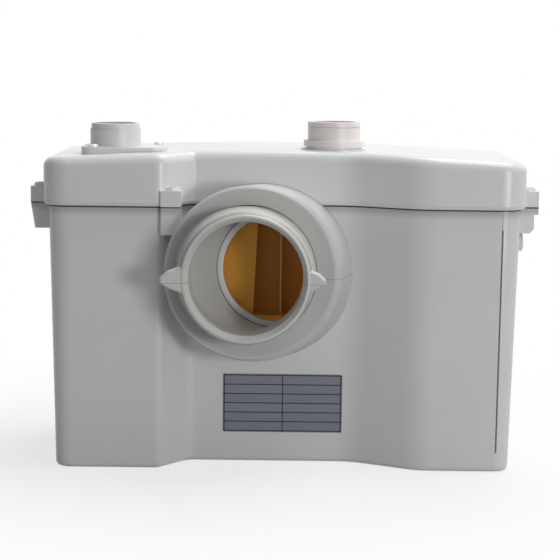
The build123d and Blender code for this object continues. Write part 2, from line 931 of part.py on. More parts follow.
# Impeller: a plate and hub with vanes that lean back
impeller_low = volute_low + volute_wall + impeller_lift
with BuildSketch() as vane:
    with BuildLine():
        ThreePointArc(
            (impeller_hub_r, 0),
            ((impeller_hub_r + impeller_r) / 2, vane_lean / 2),
            (impeller_r - vane_lean / 2, -vane_lean),
        )
    trace(line_width=impeller_blade_wall)
with BuildPart() as impeller:
    post(impeller_r, impeller_low, impeller_low + impeller_plate, pump_axis)
    with BuildSketch(Plane(origin=(pump_x, pump_y, impeller_low + impeller_plate))):
        with PolarLocations(0, impeller_blades):
            add(vane.sketch)
        Circle(impeller_r, mode=Mode.INTERSECT)
    extrude(amount=impeller_height - impeller_plate)
    post(impeller_hub_r, impeller_low, impeller_low + impeller_hub, pump_axis)
    post(shaft_r + fit, impeller_low, impeller_low + impeller_hub, pump_axis, Mode.SUBTRACT)
impeller.part.label = "impeller"
export_step(impeller.part, "parts/impeller.step")

# Grinding basket: a slotted cup with posts for the motor screws and a port for the feed elbow
basket_base = volute_top + basket_floor
slot_low = basket_base + slot_lift
with BuildPart() as grinding_basket:
    post(basket_r, volute_top, basket_top, pump_axis)
    post(basket_r - basket_wall, basket_base, basket_top, pump_axis, Mode.SUBTRACT)
    with Locations((pump_x, pump_y, slot_low)):
        with PolarLocations(basket_r, basket_slots, 360 / basket_slots / 2):
            Box(
                4 * basket_wall,
                slot_width,
                slot_height,
                align=(Align.CENTER, Align.CENTER, Align.MIN),
                mode=Mode.SUBTRACT,
            )
    post(basket_post_r, volute_top, basket_top, post_places)
    post(eye_r, volute_top, basket_base, pump_axis, Mode.SUBTRACT)
    extrude(
        disc(throat_r, pump_x, pump_y - basket_r - overrun, feed_z, (0, 1, 0)),
        amount=basket_wall + 2 * overrun,
        mode=Mode.SUBTRACT,
    )
    post(
        motor_screw_r + screw_clear,
        flange_top - motor_screw_length - overrun,
        basket_top,
        post_places,
        Mode.SUBTRACT,
    )
grinding_basket.part.label = "grinding_basket"
export_step(grinding_basket.part, "parts/grinding_basket.step")

# Cutter: a carrier disc on the shaft with four upturned blades
carrier_low = basket_base + carrier_lift
carrier_top = carrier_low + carrier_thick
with BuildPart() as blade_carrier:
    post(carrier_r, carrier_low, carrier_top, pump_axis)
    post(carrier_hub_r, carrier_low, carrier_low + carrier_hub, pump_axis)
    post(shaft_r + fit, carrier_low, carrier_low + carrier_hub, pump_axis, Mode.SUBTRACT)
blade_carrier.part.label = "blade_carrier"
export_step(blade_carrier.part, "parts/blade_carrier.step")

blade_end = blade_root + blade_length
with BuildPart() as cutting_blades:
    with Locations((pump_x, pump_y, carrier_top)):
        with PolarLocations(0, blade_count):
            with Locations((blade_root + blade_length / 2, 0, blade_thick / 2)):
                Box(blade_length, blade_width, blade_thick)
            with Locations((blade_end - blade_thick / 2, 0, blade_rise / 2)):
                Box(blade_thick, blade_width, blade_rise)
    top_edges = cutting_blades.edges().group_by(Axis.Z)[-1].sort_by(SortBy.LENGTH)
    chamfer(top_edges[-2 * blade_count :], blade_bevel / 2)
cutting_blades.part.label = "cutting_blades"
export_step(cutting_blades.part, "parts/cutting_blades.step")

# Motor flange: closes the basket, holds the shaft seal and the lower bearing
bearing_seat_r = bearing_r + fit
with BuildPart() as motor_flange:
    post(flange_r, basket_top, flange_top, pump_axis)
    post(bearing_r + bearing_wall, flange_top, flange_top + bearing_width + fit, pump_axis)
    post(bearing_seat_r, flange_top, flange_top + bearing_width + overrun, pump_axis, Mode.SUBTRACT)
    post(shaft_seal_r + fit, basket_top, flange_top, pump_axis, Mode.SUBTRACT)
    post(motor_screw_r + screw_clear, basket_top, flange_top, post_places, Mode.SUBTRACT)
motor_flange.part.label = "motor_flange"
export_step(motor_flange.part, "parts/motor_flange.step")

with BuildPart() as shaft_seal:
    post(shaft_seal_r, basket_top, basket_top + shaft_seal_height, pump_axis)
    post(shaft_r + running_gap, basket_top, basket_top + shaft_seal_height, pump_axis, Mode.SUBTRACT)
shaft_seal.part.label = "shaft_seal"
export_step(shaft_seal.part, "parts/shaft_seal.step")

motor_top = flange_top + motor_height
for name, low in (("lower_bearing", flange_top), ("upper_bearing", motor_top - bearing_width)):
    with BuildPart() as bearing:
        post(bearing_r, low, low + bearing_width, pump_axis)
        post(shaft_r + running_gap, low, low + bearing_width, pump_axis, Mode.SUBTRACT)
        chamfer(bearing.edges().filter_by(GeomType.CIRCLE).sort_by(SortBy.RADIUS)[-2:], fit)
    bearing.part.label = name
    export_step(bearing.part, f"parts/{name}.step")

# Motor: can, end cap, stator with its end windings, and the rotor on the shaft
with BuildPart() as motor_can:
    post(motor_r, flange_top, motor_top, pump_axis)
    post(motor_r - motor_wall, flange_top, motor_top, pump_axis, Mode.SUBTRACT)
motor_can.part.label = "motor_can"
export_step(motor_can.part, "parts/motor_can.step")

cap_top = motor_top + end_cap_height - bearing_width
with BuildPart() as motor_end_cap:
    post(motor_r, motor_top, cap_top, pump_axis)
    fillet(motor_end_cap.edges().group_by(Axis.Z)[-1], motor_wall)
    post(bearing_r + bearing_wall, motor_top - bearing_width, motor_top, pump_axis)
    post(bearing_seat_r, motor_top - bearing_width - overrun, motor_top, pump_axis, Mode.SUBTRACT)
motor_end_cap.part.label = "motor_end_cap"
export_step(motor_end_cap.part, "parts/motor_end_cap.step")

shaft_low = volute_low + volute_wall + impeller_lift - impeller_plate
with BuildPart() as motor_shaft:
    post(shaft_r, shaft_low, motor_top - motor_wall, pump_axis)
    chamfer(motor_shaft.edges().filter_by(GeomType.CIRCLE), fit)
motor_shaft.part.label = "motor_shaft"
export_step(motor_shaft.part, "parts/motor_shaft.step")

stator_low = flange_top + stator_lift
stator_top = stator_low + stator_height
stator_r = motor_r - motor_wall - fit
with BuildPart() as stator_core:
    post(stator_r, stator_low, stator_top, pump_axis)
    post(stator_bore_r, stator_low, stator_top, pump_axis, Mode.SUBTRACT)
    post(
        stator_slot_r,
        stator_low,
        stator_top,
        ring_around(pump_x, pump_y, stator_slot_ring, stator_slots),
        Mode.SUBTRACT,
    )
stator_core.part.label = "stator_core"
export_step(stator_core.part, "parts/stator_core.step")

with BuildPart() as stator_windings:
    for low in (stator_low - coil_height, stator_top):
        post(coil_out, low, low + coil_height, pump_axis)
        post(coil_in, low, low + coil_height, pump_axis, Mode.SUBTRACT)
    fillet(stator_windings.edges().group_by(Axis.Z)[-1], motor_wall)
    fillet(stator_windings.edges().group_by(Axis.Z)[0], motor_wall)
stator_windings.part.label = "stator_windings"
export_step(stator_windings.part, "parts/stator_windings.step")

rotor_low = stator_low + (stator_height - rotor_height) / 2
with BuildPart() as rotor_core:
    post(rotor_r, rotor_low, rotor_low + rotor_height, pump_axis)
    post(shaft_r + fit, rotor_low, rotor_low + rotor_height, pump_axis, Mode.SUBTRACT)
    post(
        rotor_slot_r,
        rotor_low,
        rotor_low + rotor_height,
        ring_around(pump_x, pump_y, rotor_slot_ring, rotor_slots),
        Mode.SUBTRACT,
    )
rotor_core.part.label = "rotor_core"
export_step(rotor_core.part, "parts/rotor_core.step")

with BuildPart() as motor_screws:
    post(motor_screw_head_r, flange_top, flange_top + motor_screw_head, post_places)
    post(motor_screw_r, flange_top - motor_screw_length, flange_top, post_places)
motor_screws.part.label = "motor_screws"
export_step(motor_screws.part, "parts/motor_screws.step")

# Riser: from the volute's outlet across the floor and up to the non-return valve
riser_start = pump_x - outlet_reach
with BuildPart() as riser_pipe:
    with BuildLine():
        FilletPolyline(
            (riser_start, outlet_y, outlet_z),
            (riser_turn_x, outlet_y, outlet_z),
            (spigot_x, spigot_y, outlet_z),
            (spigot_x, spigot_y, valve_low),
            radius=[riser_turn_r, riser_foot_r],
        )
    with BuildSketch(Plane(origin=(riser_start, outlet_y, outlet_z), z_dir=(-1, 0, 0))):
        Circle(outlet_r)
        Circle(outlet_bore_r, mode=Mode.SUBTRACT)
    sweep()
riser_pipe.part.label = "riser_pipe"
export_step(riser_pipe.part, "parts/riser_pipe.step")

# Non-return valve: a cup under the lid with a seat in its floor and two bosses for the flap's pin
spigot_axis = [(spigot_x, spigot_y)]
seat_z = valve_low + valve_floor
disc_pin_x = spigot_x - disc_pin_back
disc_pin_z = seat_z + disc_knuckle_r + fit
boss_in = disc_knuckle / 2 + flap_gap
with BuildPart() as valve_body:
    post(valve_r, valve_low, pad_low, spigot_axis)
    post(valve_bore_r, seat_z, pad_low, spigot_axis, Mode.SUBTRACT)
    for side in (-1, 1):
        block(
            (disc_pin_x - disc_knuckle_r, disc_pin_x + disc_knuckle_r),
            sorted((spigot_y + side * boss_in, spigot_y + side * (boss_in + pin_boss))),
            (seat_z, disc_pin_z + disc_knuckle_r),
        )
    post(outlet_bore_r, valve_low, seat_z - valve_floor / 2, spigot_axis, Mode.SUBTRACT)
    post(seat_bore_r, seat_z - valve_floor / 2, seat_z, spigot_axis, Mode.SUBTRACT)
    extrude(
        disc(disc_pin_r + running_gap, disc_pin_x, spigot_y - valve_r, disc_pin_z, (0, 1, 0)),
        amount=2 * valve_r,
        mode=Mode.SUBTRACT,
    )
valve_body.part.label = "valve_body"
export_step(valve_body.part, "parts/valve_body.step")

with BuildPart() as discharge_flap:
    post(disc_r, seat_z + seat_gap, seat_z + seat_gap + disc_thick, spigot_axis)
    block(
        (disc_pin_x, spigot_x),
        (spigot_y - disc_knuckle / 2, spigot_y + disc_knuckle / 2),
        (seat_z + seat_gap, seat_z + seat_gap + disc_thick),
    )
    extrude(
        disc(disc_knuckle_r, disc_pin_x, spigot_y - disc_knuckle / 2, disc_pin_z, (0, 1, 0)),
        amount=disc_knuckle,
    )
    extrude(
        disc(disc_pin_r + running_gap, disc_pin_x, spigot_y - disc_knuckle, disc_pin_z, (0, 1, 0)),
        amount=2 * disc_knuckle,
        mode=Mode.SUBTRACT,
    )
discharge_flap.part.label = "discharge_flap"
export_step(discharge_flap.part, "parts/discharge_flap.step")

disc_pin_half = boss_in + pin_boss
with BuildPart() as discharge_flap_pin:
    extrude(
        disc(disc_pin_r, disc_pin_x, spigot_y - disc_pin_half, disc_pin_z, (0, 1, 0)),
        amount=2 * disc_pin_half,
    )
discharge_flap_pin.part.label = "discharge_flap_pin"
export_step(discharge_flap_pin.part, "parts/discharge_flap_pin.step")

# Discharge spigot: a flange screwed to the lid, a neck and a smaller band at its mouth
band_low = spigot_top - spigot_band
with BuildPart() as discharge_spigot:
    extrude(plate_outline(pad_top), amount=plate_thick)
    fillet(discharge_spigot.edges().group_by(Axis.Z)[-1], plate_thick / 4)
    post(spigot_r, plate_top, band_low, spigot_axis)
    post(spigot_r - spigot_band_in, band_low, spigot_top, spigot_axis)
    fillet(discharge_spigot.edges().group_by(Axis.Z)[-1], spigot_band_in)
    post(spigot_bore_r, pad_top, spigot_top, spigot_axis, Mode.SUBTRACT)
    post(plate_shank_r + screw_clear, pad_top, plate_top, plate_screws, Mode.SUBTRACT)
discharge_spigot.part.label = "discharge_spigot"
export_step(discharge_spigot.part, "parts/discharge_spigot.step")

with BuildPart() as spigot_screws:
    post(plate_screw_r, plate_top, plate_top + plate_screw_head, plate_screws)
    fillet(spigot_screws.edges().group_by(Axis.Z)[-1], plate_screw_head / 2)
    post(plate_shank_r, plate_screw_low, plate_top, plate_screws)
spigot_screws.part.label = "spigot_screws"
export_step(spigot_screws.part, "parts/spigot_screws.step")

# Auxiliary spigot: a base, a clamping ring, a neck and a groove near its mouth
aux_axis = [(aux_x, aux_y)]
groove_high = aux_top - aux_band
with BuildPart() as aux_spigot:
    post(aux_base_r, aux_pad_top, aux_ring_low, aux_axis)
    post(aux_ring_r, aux_ring_low, aux_ring_high, aux_axis)
    fillet(aux_spigot.edges().filter_by(GeomType.CIRCLE).sort_by(SortBy.RADIUS)[-2:], aux_groove)
    post(aux_r, aux_ring_high, groove_high, aux_axis)
    post(aux_r - aux_groove, groove_high, groove_high + aux_groove, aux_axis)
    post(aux_r, groove_high + aux_groove, aux_top, aux_axis)
    post(aux_bore_r, aux_pad_top, aux_top, aux_axis, Mode.SUBTRACT)
    fillet(aux_spigot.edges().group_by(Axis.Z)[-1], aux_groove)
aux_spigot.part.label = "aux_spigot"
export_step(aux_spigot.part, "parts/aux_spigot.step")

# Auxiliary elbow under the lid, with two ears for the flap's pin
flap_face = elbow_end_x + flap_gap
flap_pin_x = flap_face + flap_knuckle_r + fit
flap_pin_z = elbow_z + flap_pin_up
ear_in = flap_knuckle / 2 + flap_gap
elbow_top = aux_pad_low - elbow_flange
with BuildPart() as aux_elbow:
    with BuildLine():
        FilletPolyline(
            (aux_x, aux_y, elbow_top),
            (aux_x, aux_y, elbow_z),
            (elbow_end_x, aux_y, elbow_z),
            radius=elbow_turn_r,
        )
    with BuildSketch(Plane(origin=(aux_x, aux_y, elbow_top), z_dir=(0, 0, -1))):
        Circle(elbow_r)
    sweep()
    post(elbow_flange_r, elbow_top, aux_pad_low, aux_axis)
    for side in (-1, 1):
        ear_span = sorted((aux_y + side * ear_in, aux_y + side * (ear_in + flap_ear)))
        block(
            (elbow_end_x - 2 * flap_ear, elbow_end_x),
            ear_span,
            (flap_pin_z - 3 * flap_ear, flap_pin_z + flap_knuckle_r),
        )
        block(
            (elbow_end_x - flap_ear, flap_pin_x + flap_knuckle_r),
            ear_span,
            (flap_pin_z - flap_knuckle_r, flap_pin_z + flap_knuckle_r),
        )
    with BuildLine():
        FilletPolyline(
            (aux_x, aux_y, aux_pad_low),
            (aux_x, aux_y, elbow_z),
            (elbow_end_x, aux_y, elbow_z),
            radius=elbow_turn_r,
        )
    with BuildSketch(Plane(origin=(aux_x, aux_y, aux_pad_low), z_dir=(0, 0, -1))):
        Circle(elbow_bore_r)
    sweep(mode=Mode.SUBTRACT)
    extrude(
        disc(flap_pin_r + running_gap, flap_pin_x, aux_y - 2 * flap_knuckle, flap_pin_z, (0, 1, 0)),
        amount=4 * flap_knuckle,
        mode=Mode.SUBTRACT,
    )
aux_elbow.part.label = "aux_elbow"
export_step(aux_elbow.part, "parts/aux_elbow.step")

with BuildPart() as inlet_flap:
    extrude(disc(flap_r, flap_face, aux_y, elbow_z, (1, 0, 0)), amount=flap_thick)
    block(
        (flap_face, flap_face + flap_thick),
        (aux_y - flap_knuckle / 2, aux_y + flap_knuckle / 2),
        (elbow_z, flap_pin_z),
    )
    extrude(
        disc(flap_knuckle_r, flap_pin_x, aux_y - flap_knuckle / 2, flap_pin_z, (0, 1, 0)),
        amount=flap_knuckle,
    )
    extrude(
        disc(flap_pin_r + running_gap, flap_pin_x, aux_y - flap_knuckle, flap_pin_z, (0, 1, 0)),
        amount=2 * flap_knuckle,
        mode=Mode.SUBTRACT,
    )
inlet_flap.part.label = "inlet_flap"
export_step(inlet_flap.part, "parts/inlet_flap.step")

flap_pin_half = ear_in + flap_ear
with BuildPart() as inlet_flap_pin:
    extrude(
        disc(flap_pin_r, flap_pin_x, aux_y - flap_pin_half, flap_pin_z, (0, 1, 0)),
        amount=2 * flap_pin_half,
    )
inlet_flap_pin.part.label = "inlet_flap_pin"
export_step(inlet_flap_pin.part, "parts/inlet_flap_pin.step")

# Level bell: an open tube that stands on the floor and traps air under the pressure switch
bell_axis = [(bell_x, bell_y)]
with BuildPart() as level_bell:
    post(bell_r, tank_floor, bell_top, bell_axis)
    post(bell_r - bell_wall, tank_floor, bell_top, bell_axis, Mode.SUBTRACT)
    for spans in (
        ((bell_x - bell_r, bell_x + bell_r), (bell_y - bell_notch / 2, bell_y + bell_notch / 2)),
        ((bell_x - bell_notch / 2, bell_x + bell_notch / 2), (bell_y - bell_r, bell_y + bell_r)),
    ):
        block(*spans, (tank_floor, tank_floor + bell_notch_height), Mode.SUBTRACT)
level_bell.part.label = "level_bell"
export_step(level_bell.part, "parts/level_bell.step")

cup_top = bell_top + cup_height
ledge_top = bell_top + diaphragm_lift
with BuildPart() as pressure_housing:
    post(cup_r, bell_top, cup_top, bell_axis)
    post(bell_r - bell_wall, bell_top, ledge_top, bell_axis, Mode.SUBTRACT)
    post(cup_r - cup_wall, ledge_top, cup_top, bell_axis, Mode.SUBTRACT)
pressure_housing.part.label = "pressure_housing"
export_step(pressure_housing.part, "parts/pressure_housing.step")

with BuildPart() as diaphragm:
    post(diaphragm_r, ledge_top, ledge_top + diaphragm_thick, bell_axis)
    post(plunger_plate_r + plunger_top_gap, ledge_top, ledge_top + diaphragm_thick, bell_axis, Mode.SUBTRACT)
diaphragm.part.label = "diaphragm"
export_step(diaphragm.part, "parts/diaphragm.step")

# Plunger that the diaphragm lifts
box_floor_top = cup_top + box_wall
plunger_top = box_floor_top + plunger_rise
with BuildPart() as switch_plunger:
    post(plunger_plate_r, ledge_top, ledge_top + plunger_plate, bell_axis)
    post(plunger_r, ledge_top, plunger_top - plunger_tip, bell_axis)
    post(plunger_tip_r, plunger_top - plunger_tip, plunger_top, bell_axis)
switch_plunger.part.label = "switch_plunger"
export_step(switch_plunger.part, "parts/switch_plunger.step")

# Control box on top of the pressure switch, with posts for the circuit board
board_places = [
    (bell_x + sx * (board_length / 2 - board_inset), board_y + sy * (board_width / 2 - board_inset))
    for sx in (-1, 1)
    for sy in (-1, 1)
]
box_middle = ((box_left + box_right) / 2, (box_front + box_back) / 2)
box_size = (box_right - box_left, box_back - box_front)
box_top = cup_top + box_height
with BuildPart() as control_box:
    with BuildSketch(Plane.XY.offset(cup_top)):
        with Locations(box_middle):
            RectangleRounded(*box_size, box_corner_r)
    extrude(amount=box_height)
    with BuildSketch(Plane.XY.offset(box_floor_top)):
        with Locations(box_middle):
            RectangleRounded(box_size[0] - 2 * box_wall, box_size[1] - 2 * box_wall, box_corner_r - box_wall)
    extrude(amount=box_height, mode=Mode.SUBTRACT)
    post(board_post_r, cup_top, box_floor_top + board_lift, board_places)
    post(plunger_r + plunger_top_gap, cup_top, box_floor_top, bell_axis, Mode.SUBTRACT)
control_box.part.label = "control_box"
export_step(control_box.part, "parts/control_box.step")

with BuildPart() as control_box_cover:
    with BuildSketch(Plane.XY.offset(box_top)):
        with Locations(box_middle):
            RectangleRounded(*box_size, box_corner_r)
    extrude(amount=box_cover)
    lip = box_wall + fit
    with BuildSketch(Plane.XY.offset(box_top - box_lip)):
        with Locations(box_middle):
            RectangleRounded(box_size[0] - 2 * lip, box_size[1] - 2 * lip, box_corner_r - box_wall)
            RectangleRounded(
                box_size[0] - 2 * lip - 2 * box_wall,
                box_size[1] - 2 * lip - 2 * box_wall,
                box_corner_r - box_wall,
                mode=Mode.SUBTRACT,
            )
    extrude(amount=box_lip)
control_box_cover.part.label = "control_box_cover"
export_step(control_box_cover.part, "parts/control_box_cover.step")

# Switch train: lever on a pin, push button and microswitch between the bracket's cheeks
lever_low = plunger_top + plunger_top_gap
lever_pin_x = bell_x - lever_pin_back
lever_pin_z = lever_low + lever_thick / 2
bracket_in = switch_width / 2 + fit
bracket_out = bracket_in + bracket_wall
button_x = lever_pin_x + button_back
button_low = lever_low + lever_thick + plunger_top_gap
switch_low = button_low + button_height
switch_top = switch_low + switch_height
with BuildPart() as switch_lever:
    block(
        (lever_pin_x, lever_pin_x + lever_length),
        (bell_y - lever_width / 2, bell_y + lever_width / 2),
        (lever_low, lever_low + lever_thick),
    )
    extrude(
        disc(lever_knuckle_r, lever_pin_x, bell_y - lever_width / 2, lever_pin_z, (0, 1, 0)),
        amount=lever_width,
    )
    extrude(
        disc(lever_pin_r + running_gap, lever_pin_x, bell_y - lever_width, lever_pin_z, (0, 1, 0)),
        amount=2 * lever_width,
        mode=Mode.SUBTRACT,
    )
switch_lever.part.label = "switch_lever"
export_step(switch_lever.part, "parts/switch_lever.step")

with BuildPart() as lever_pin:
    extrude(
        disc(lever_pin_r, lever_pin_x, bell_y - bracket_out, lever_pin_z, (0, 1, 0)),
        amount=2 * bracket_out,
    )
lever_pin.part.label = "lever_pin"
export_step(lever_pin.part, "parts/lever_pin.step")

with BuildPart() as switch_bracket:
    for side in (-1, 1):
        block(
            (bell_x - bracket_left, bell_x + bracket_right),
            sorted((bell_y + side * bracket_in, bell_y + side * bracket_out)),
            (box_floor_top, switch_top + bracket_wall),
        )
    block(
        (bell_x - bracket_left, bell_x + bracket_right),
        (bell_y - bracket_out, bell_y + bracket_out),
        (switch_top, switch_top + bracket_wall),
    )
    extrude(
        disc(lever_pin_r + running_gap, lever_pin_x, bell_y - 2 * bracket_out, lever_pin_z, (0, 1, 0)),
        amount=4 * bracket_out,
        mode=Mode.SUBTRACT,
    )
switch_bracket.part.label = "switch_bracket"
export_step(switch_bracket.part, "parts/switch_bracket.step")

button_axis = [(button_x, bell_y)]
with BuildPart() as microswitch:
    block(
        (bell_x - switch_left, bell_x - switch_left + switch_length),
        (bell_y - switch_width / 2, bell_y + switch_width / 2),
        (switch_low, switch_top),
    )
    post(button_r + running_gap, switch_low, switch_low + button_slot, button_axis, Mode.SUBTRACT)
microswitch.part.label = "microswitch"
export_step(microswitch.part, "parts/microswitch.step")

with BuildPart() as switch_button:
    post(button_r, button_low, switch_low + button_deep, button_axis)
    fillet(switch_button.edges().group_by(Axis.Z)[0], button_r / 3)
switch_button.part.label = "switch_button"
export_step(switch_button.part, "parts/switch_button.step")

# Circuit board with its relay and terminals, and the run capacitor in its clip
board_low = box_floor_top + board_lift
board_top = board_low + board_thick
with BuildPart() as circuit_board:
    block(
        (bell_x - board_length / 2, bell_x + board_length / 2),
        (board_y - board_width / 2, board_y + board_width / 2),
        (board_low, board_top),
    )
circuit_board.part.label = "circuit_board"
export_step(circuit_board.part, "parts/circuit_board.step")

relay_x = bell_x - board_length / 2 + board_inset + relay_length / 2
with BuildPart() as relay:
    block(
        (relay_x - relay_length / 2, relay_x + relay_length / 2),
        (board_y - relay_width / 2, board_y + relay_width / 2),
        (board_top, board_top + relay_height),
    )
    fillet(relay.edges().filter_by(Axis.Z), board_inset / 4)
relay.part.label = "relay"
export_step(relay.part, "parts/relay.step")

terminal_x = bell_x + board_length / 2 - board_inset - terminal_length / 2
terminal_step = terminal_length / 3
with BuildPart() as terminal_block:
    block(
        (terminal_x - terminal_length / 2, terminal_x + terminal_length / 2),
        (board_y - terminal_width / 2, board_y + terminal_width / 2),
        (board_top, board_top + terminal_height),
    )
    post(
        terminal_width / 4,
        board_top + terminal_height / 2,
        board_top + terminal_height,
        [(terminal_x + step * terminal_step, board_y) for step in (-1, 0, 1)],
        Mode.SUBTRACT,
    )
terminal_block.part.label = "terminal_block"
export_step(terminal_block.part, "parts/terminal_block.step")

capacitor_z = box_floor_top + clip_wall + capacitor_r
capacitor_left = bell_x - capacitor_length / 2
with BuildPart() as capacitor:
    extrude(disc(capacitor_r, capacitor_left, capacitor_y, capacitor_z, (1, 0, 0)), amount=capacitor_length)
    fillet(capacitor.edges().filter_by(GeomType.CIRCLE), clip_wall)
capacitor.part.label = "capacitor"
export_step(capacitor.part, "parts/capacitor.step")

clip_r = capacitor_r + fit
with BuildPart() as capacitor_clip:
    extrude(
        disc(clip_r + clip_wall, bell_x - clip_width / 2, capacitor_y, capacitor_z, (1, 0, 0)),
        amount=clip_width,
    )
    block(
        (bell_x - clip_width / 2, bell_x + clip_width / 2),
        (capacitor_y - clip_r, capacitor_y + clip_r),
        (box_floor_top, capacitor_z),
    )
    extrude(
        disc(clip_r, bell_x - clip_width, capacitor_y, capacitor_z, (1, 0, 0)),
        amount=2 * clip_width,
        mode=Mode.SUBTRACT,
    )
    block(
        (bell_x - clip_width, bell_x + clip_width),
        (capacitor_y - 2 * clip_r, capacitor_y + 2 * clip_r),
        (box_floor_top - 2 * clip_wall, box_floor_top),
        Mode.SUBTRACT,
    )
capacitor_clip.part.label = "capacitor_clip"
export_step(capacitor_clip.part, "parts/capacitor_clip.step")

# Cable gland through the right wall, and its nut inside
gland_face = half_width - draft_at(gland_z + gland_r) + fit
gland_axis_back = (-1, 0, 0)
with BuildPart() as cable_gland:
    extrude(disc(gland_r, gland_face + gland_out, gland_y, gland_z, gland_axis_back), amount=gland_out)
    fillet(cable_gland.edges().group_by(Axis.X)[-1], gland_out / 4)
    extrude(
        disc(gland_body_r, gland_face, gland_y, gland_z, gland_axis_back),
        amount=tank_wall + gland_in,
    )
    extrude(
        disc(gland_bore_r, gland_face + gland_out + overrun, gland_y, gland_z, gland_axis_back),
        amount=gland_out + tank_wall + gland_in + 2 * overrun,
        mode=Mode.SUBTRACT,
    )
cable_gland.part.label = "cable_gland"
export_step(cable_gland.part, "parts/cable_gland.step")

nut_face = half_width - draft_at(gland_z - gland_nut_r) - tank_wall - fit
with BuildPart() as gland_locknut:
    with BuildSketch(Plane(origin=(nut_face, gland_y, gland_z), z_dir=gland_axis_back)):
        RegularPolygon(gland_nut_r, 6)
        Circle(gland_body_r + fit, mode=Mode.SUBTRACT)
    extrude(amount=gland_nut)
gland_locknut.part.label = "gland_locknut"
export_step(gland_locknut.part, "parts/gland_locknut.step")
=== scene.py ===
# %% [markdown]
# # A macerator toilet pump
#
# A box of white moulded plastic stands behind the toilet pan. Its front is pinched in between two
# lobes, and a round sleeve in the pinch takes the pan's outlet. Two spigots stand on the lid. The
# shapes come from the CAD frame, so this lesson is about what makes moulded plastic look moulded:
# soft edges, a faint waviness, a surface that is not quite one colour, and the small marks that a
# mould leaves behind.

# %% Load the frame
import math

import bpy
import numpy as np
from mathutils import Matrix, Vector


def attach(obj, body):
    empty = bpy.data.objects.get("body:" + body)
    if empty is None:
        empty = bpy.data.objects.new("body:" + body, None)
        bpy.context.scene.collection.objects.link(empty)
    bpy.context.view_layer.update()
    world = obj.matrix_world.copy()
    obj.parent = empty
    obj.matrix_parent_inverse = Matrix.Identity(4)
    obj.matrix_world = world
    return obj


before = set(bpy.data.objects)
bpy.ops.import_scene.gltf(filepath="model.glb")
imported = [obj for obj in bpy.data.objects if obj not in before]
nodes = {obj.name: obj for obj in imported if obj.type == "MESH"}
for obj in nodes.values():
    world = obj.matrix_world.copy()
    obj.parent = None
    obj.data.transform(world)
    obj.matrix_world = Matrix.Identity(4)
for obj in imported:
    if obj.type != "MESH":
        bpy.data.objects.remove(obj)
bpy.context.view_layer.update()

MM = 0.001

# %% [markdown]
# ## Camera
#
# The photograph was taken from about a metre and a half in front, a little above the lid, looking
# down by eight degrees. The right side hangs a touch lower, which is a small roll of the camera.

# %% The camera
SENSOR_WIDE, LENS, SIGHT_END = 36.0, 106.07, 50.0
CAMERA_PLACE = (-0.0035, -1.548, 0.3803)
LOOKS_DOWN, ROLLS = 8.0, 0.68
camera_data = bpy.data.cameras.new("camera")
camera_data.sensor_width = SENSOR_WIDE
camera_data.lens = LENS
camera_data.clip_end = SIGHT_END
camera = bpy.data.objects.new("camera", camera_data)
bpy.context.scene.collection.objects.link(camera)
pitch = Matrix.Rotation(math.radians(90 - LOOKS_DOWN), 4, "X")
roll = Matrix.Rotation(math.radians(ROLLS), 4, "Z")
camera.matrix_world = Matrix.Translation(CAMERA_PLACE) @ pitch @ roll
bpy.context.scene.camera = camera
print("camera at", CAMERA_PLACE, "looking down by", LOOKS_DOWN, "degrees")

# %% [markdown]
# ## Floor and light
#
# The floor is pale. Seen straight by the camera it is white, as in a product photograph, but it
# throws back only part of the light, so that the front keeps its soft shading. Far from the pump it
# fades into plain white, and near it keeps the soft shadow. A large lamp hangs overhead, and a
# lower one in front on the right reaches into the sleeve and leaves the left lobe darker. The room
# fills the shadows, more from the right than from the left.

# %% A small kit for node trees
WHITE = (1.0, 1.0, 1.0, 1.0)


def link(tree, source, socket, target, name):
    """Joins one output to one input."""
    tree.links.new(source.outputs[socket], target.inputs[name])


def node(tree, kind, **settings):
    """A new node with these settings; a setting that is the name of an input sets that input."""
    made = tree.nodes.new(kind)
    for key, value in settings.items():
        if key in made.inputs.keys():
            made.inputs[key].default_value = value
        else:
            setattr(made, key, value)
    return made


# %% The floor
def seen_directly(tree):
    """An output that is 1 for what the camera, a mirror or glass sees, and 0 for light itself."""
    path = node(tree, "ShaderNodeLightPath")
    first = node(tree, "ShaderNodeMath", operation="MAXIMUM")
    second = node(tree, "ShaderNodeMath", operation="MAXIMUM")
    link(tree, path, "Is Camera Ray", first, 0)
    link(tree, path, "Is Glossy Ray", first, 1)
    link(tree, first, 0, second, 0)
    link(tree, path, "Is Transmission Ray", second, 1)
    return second


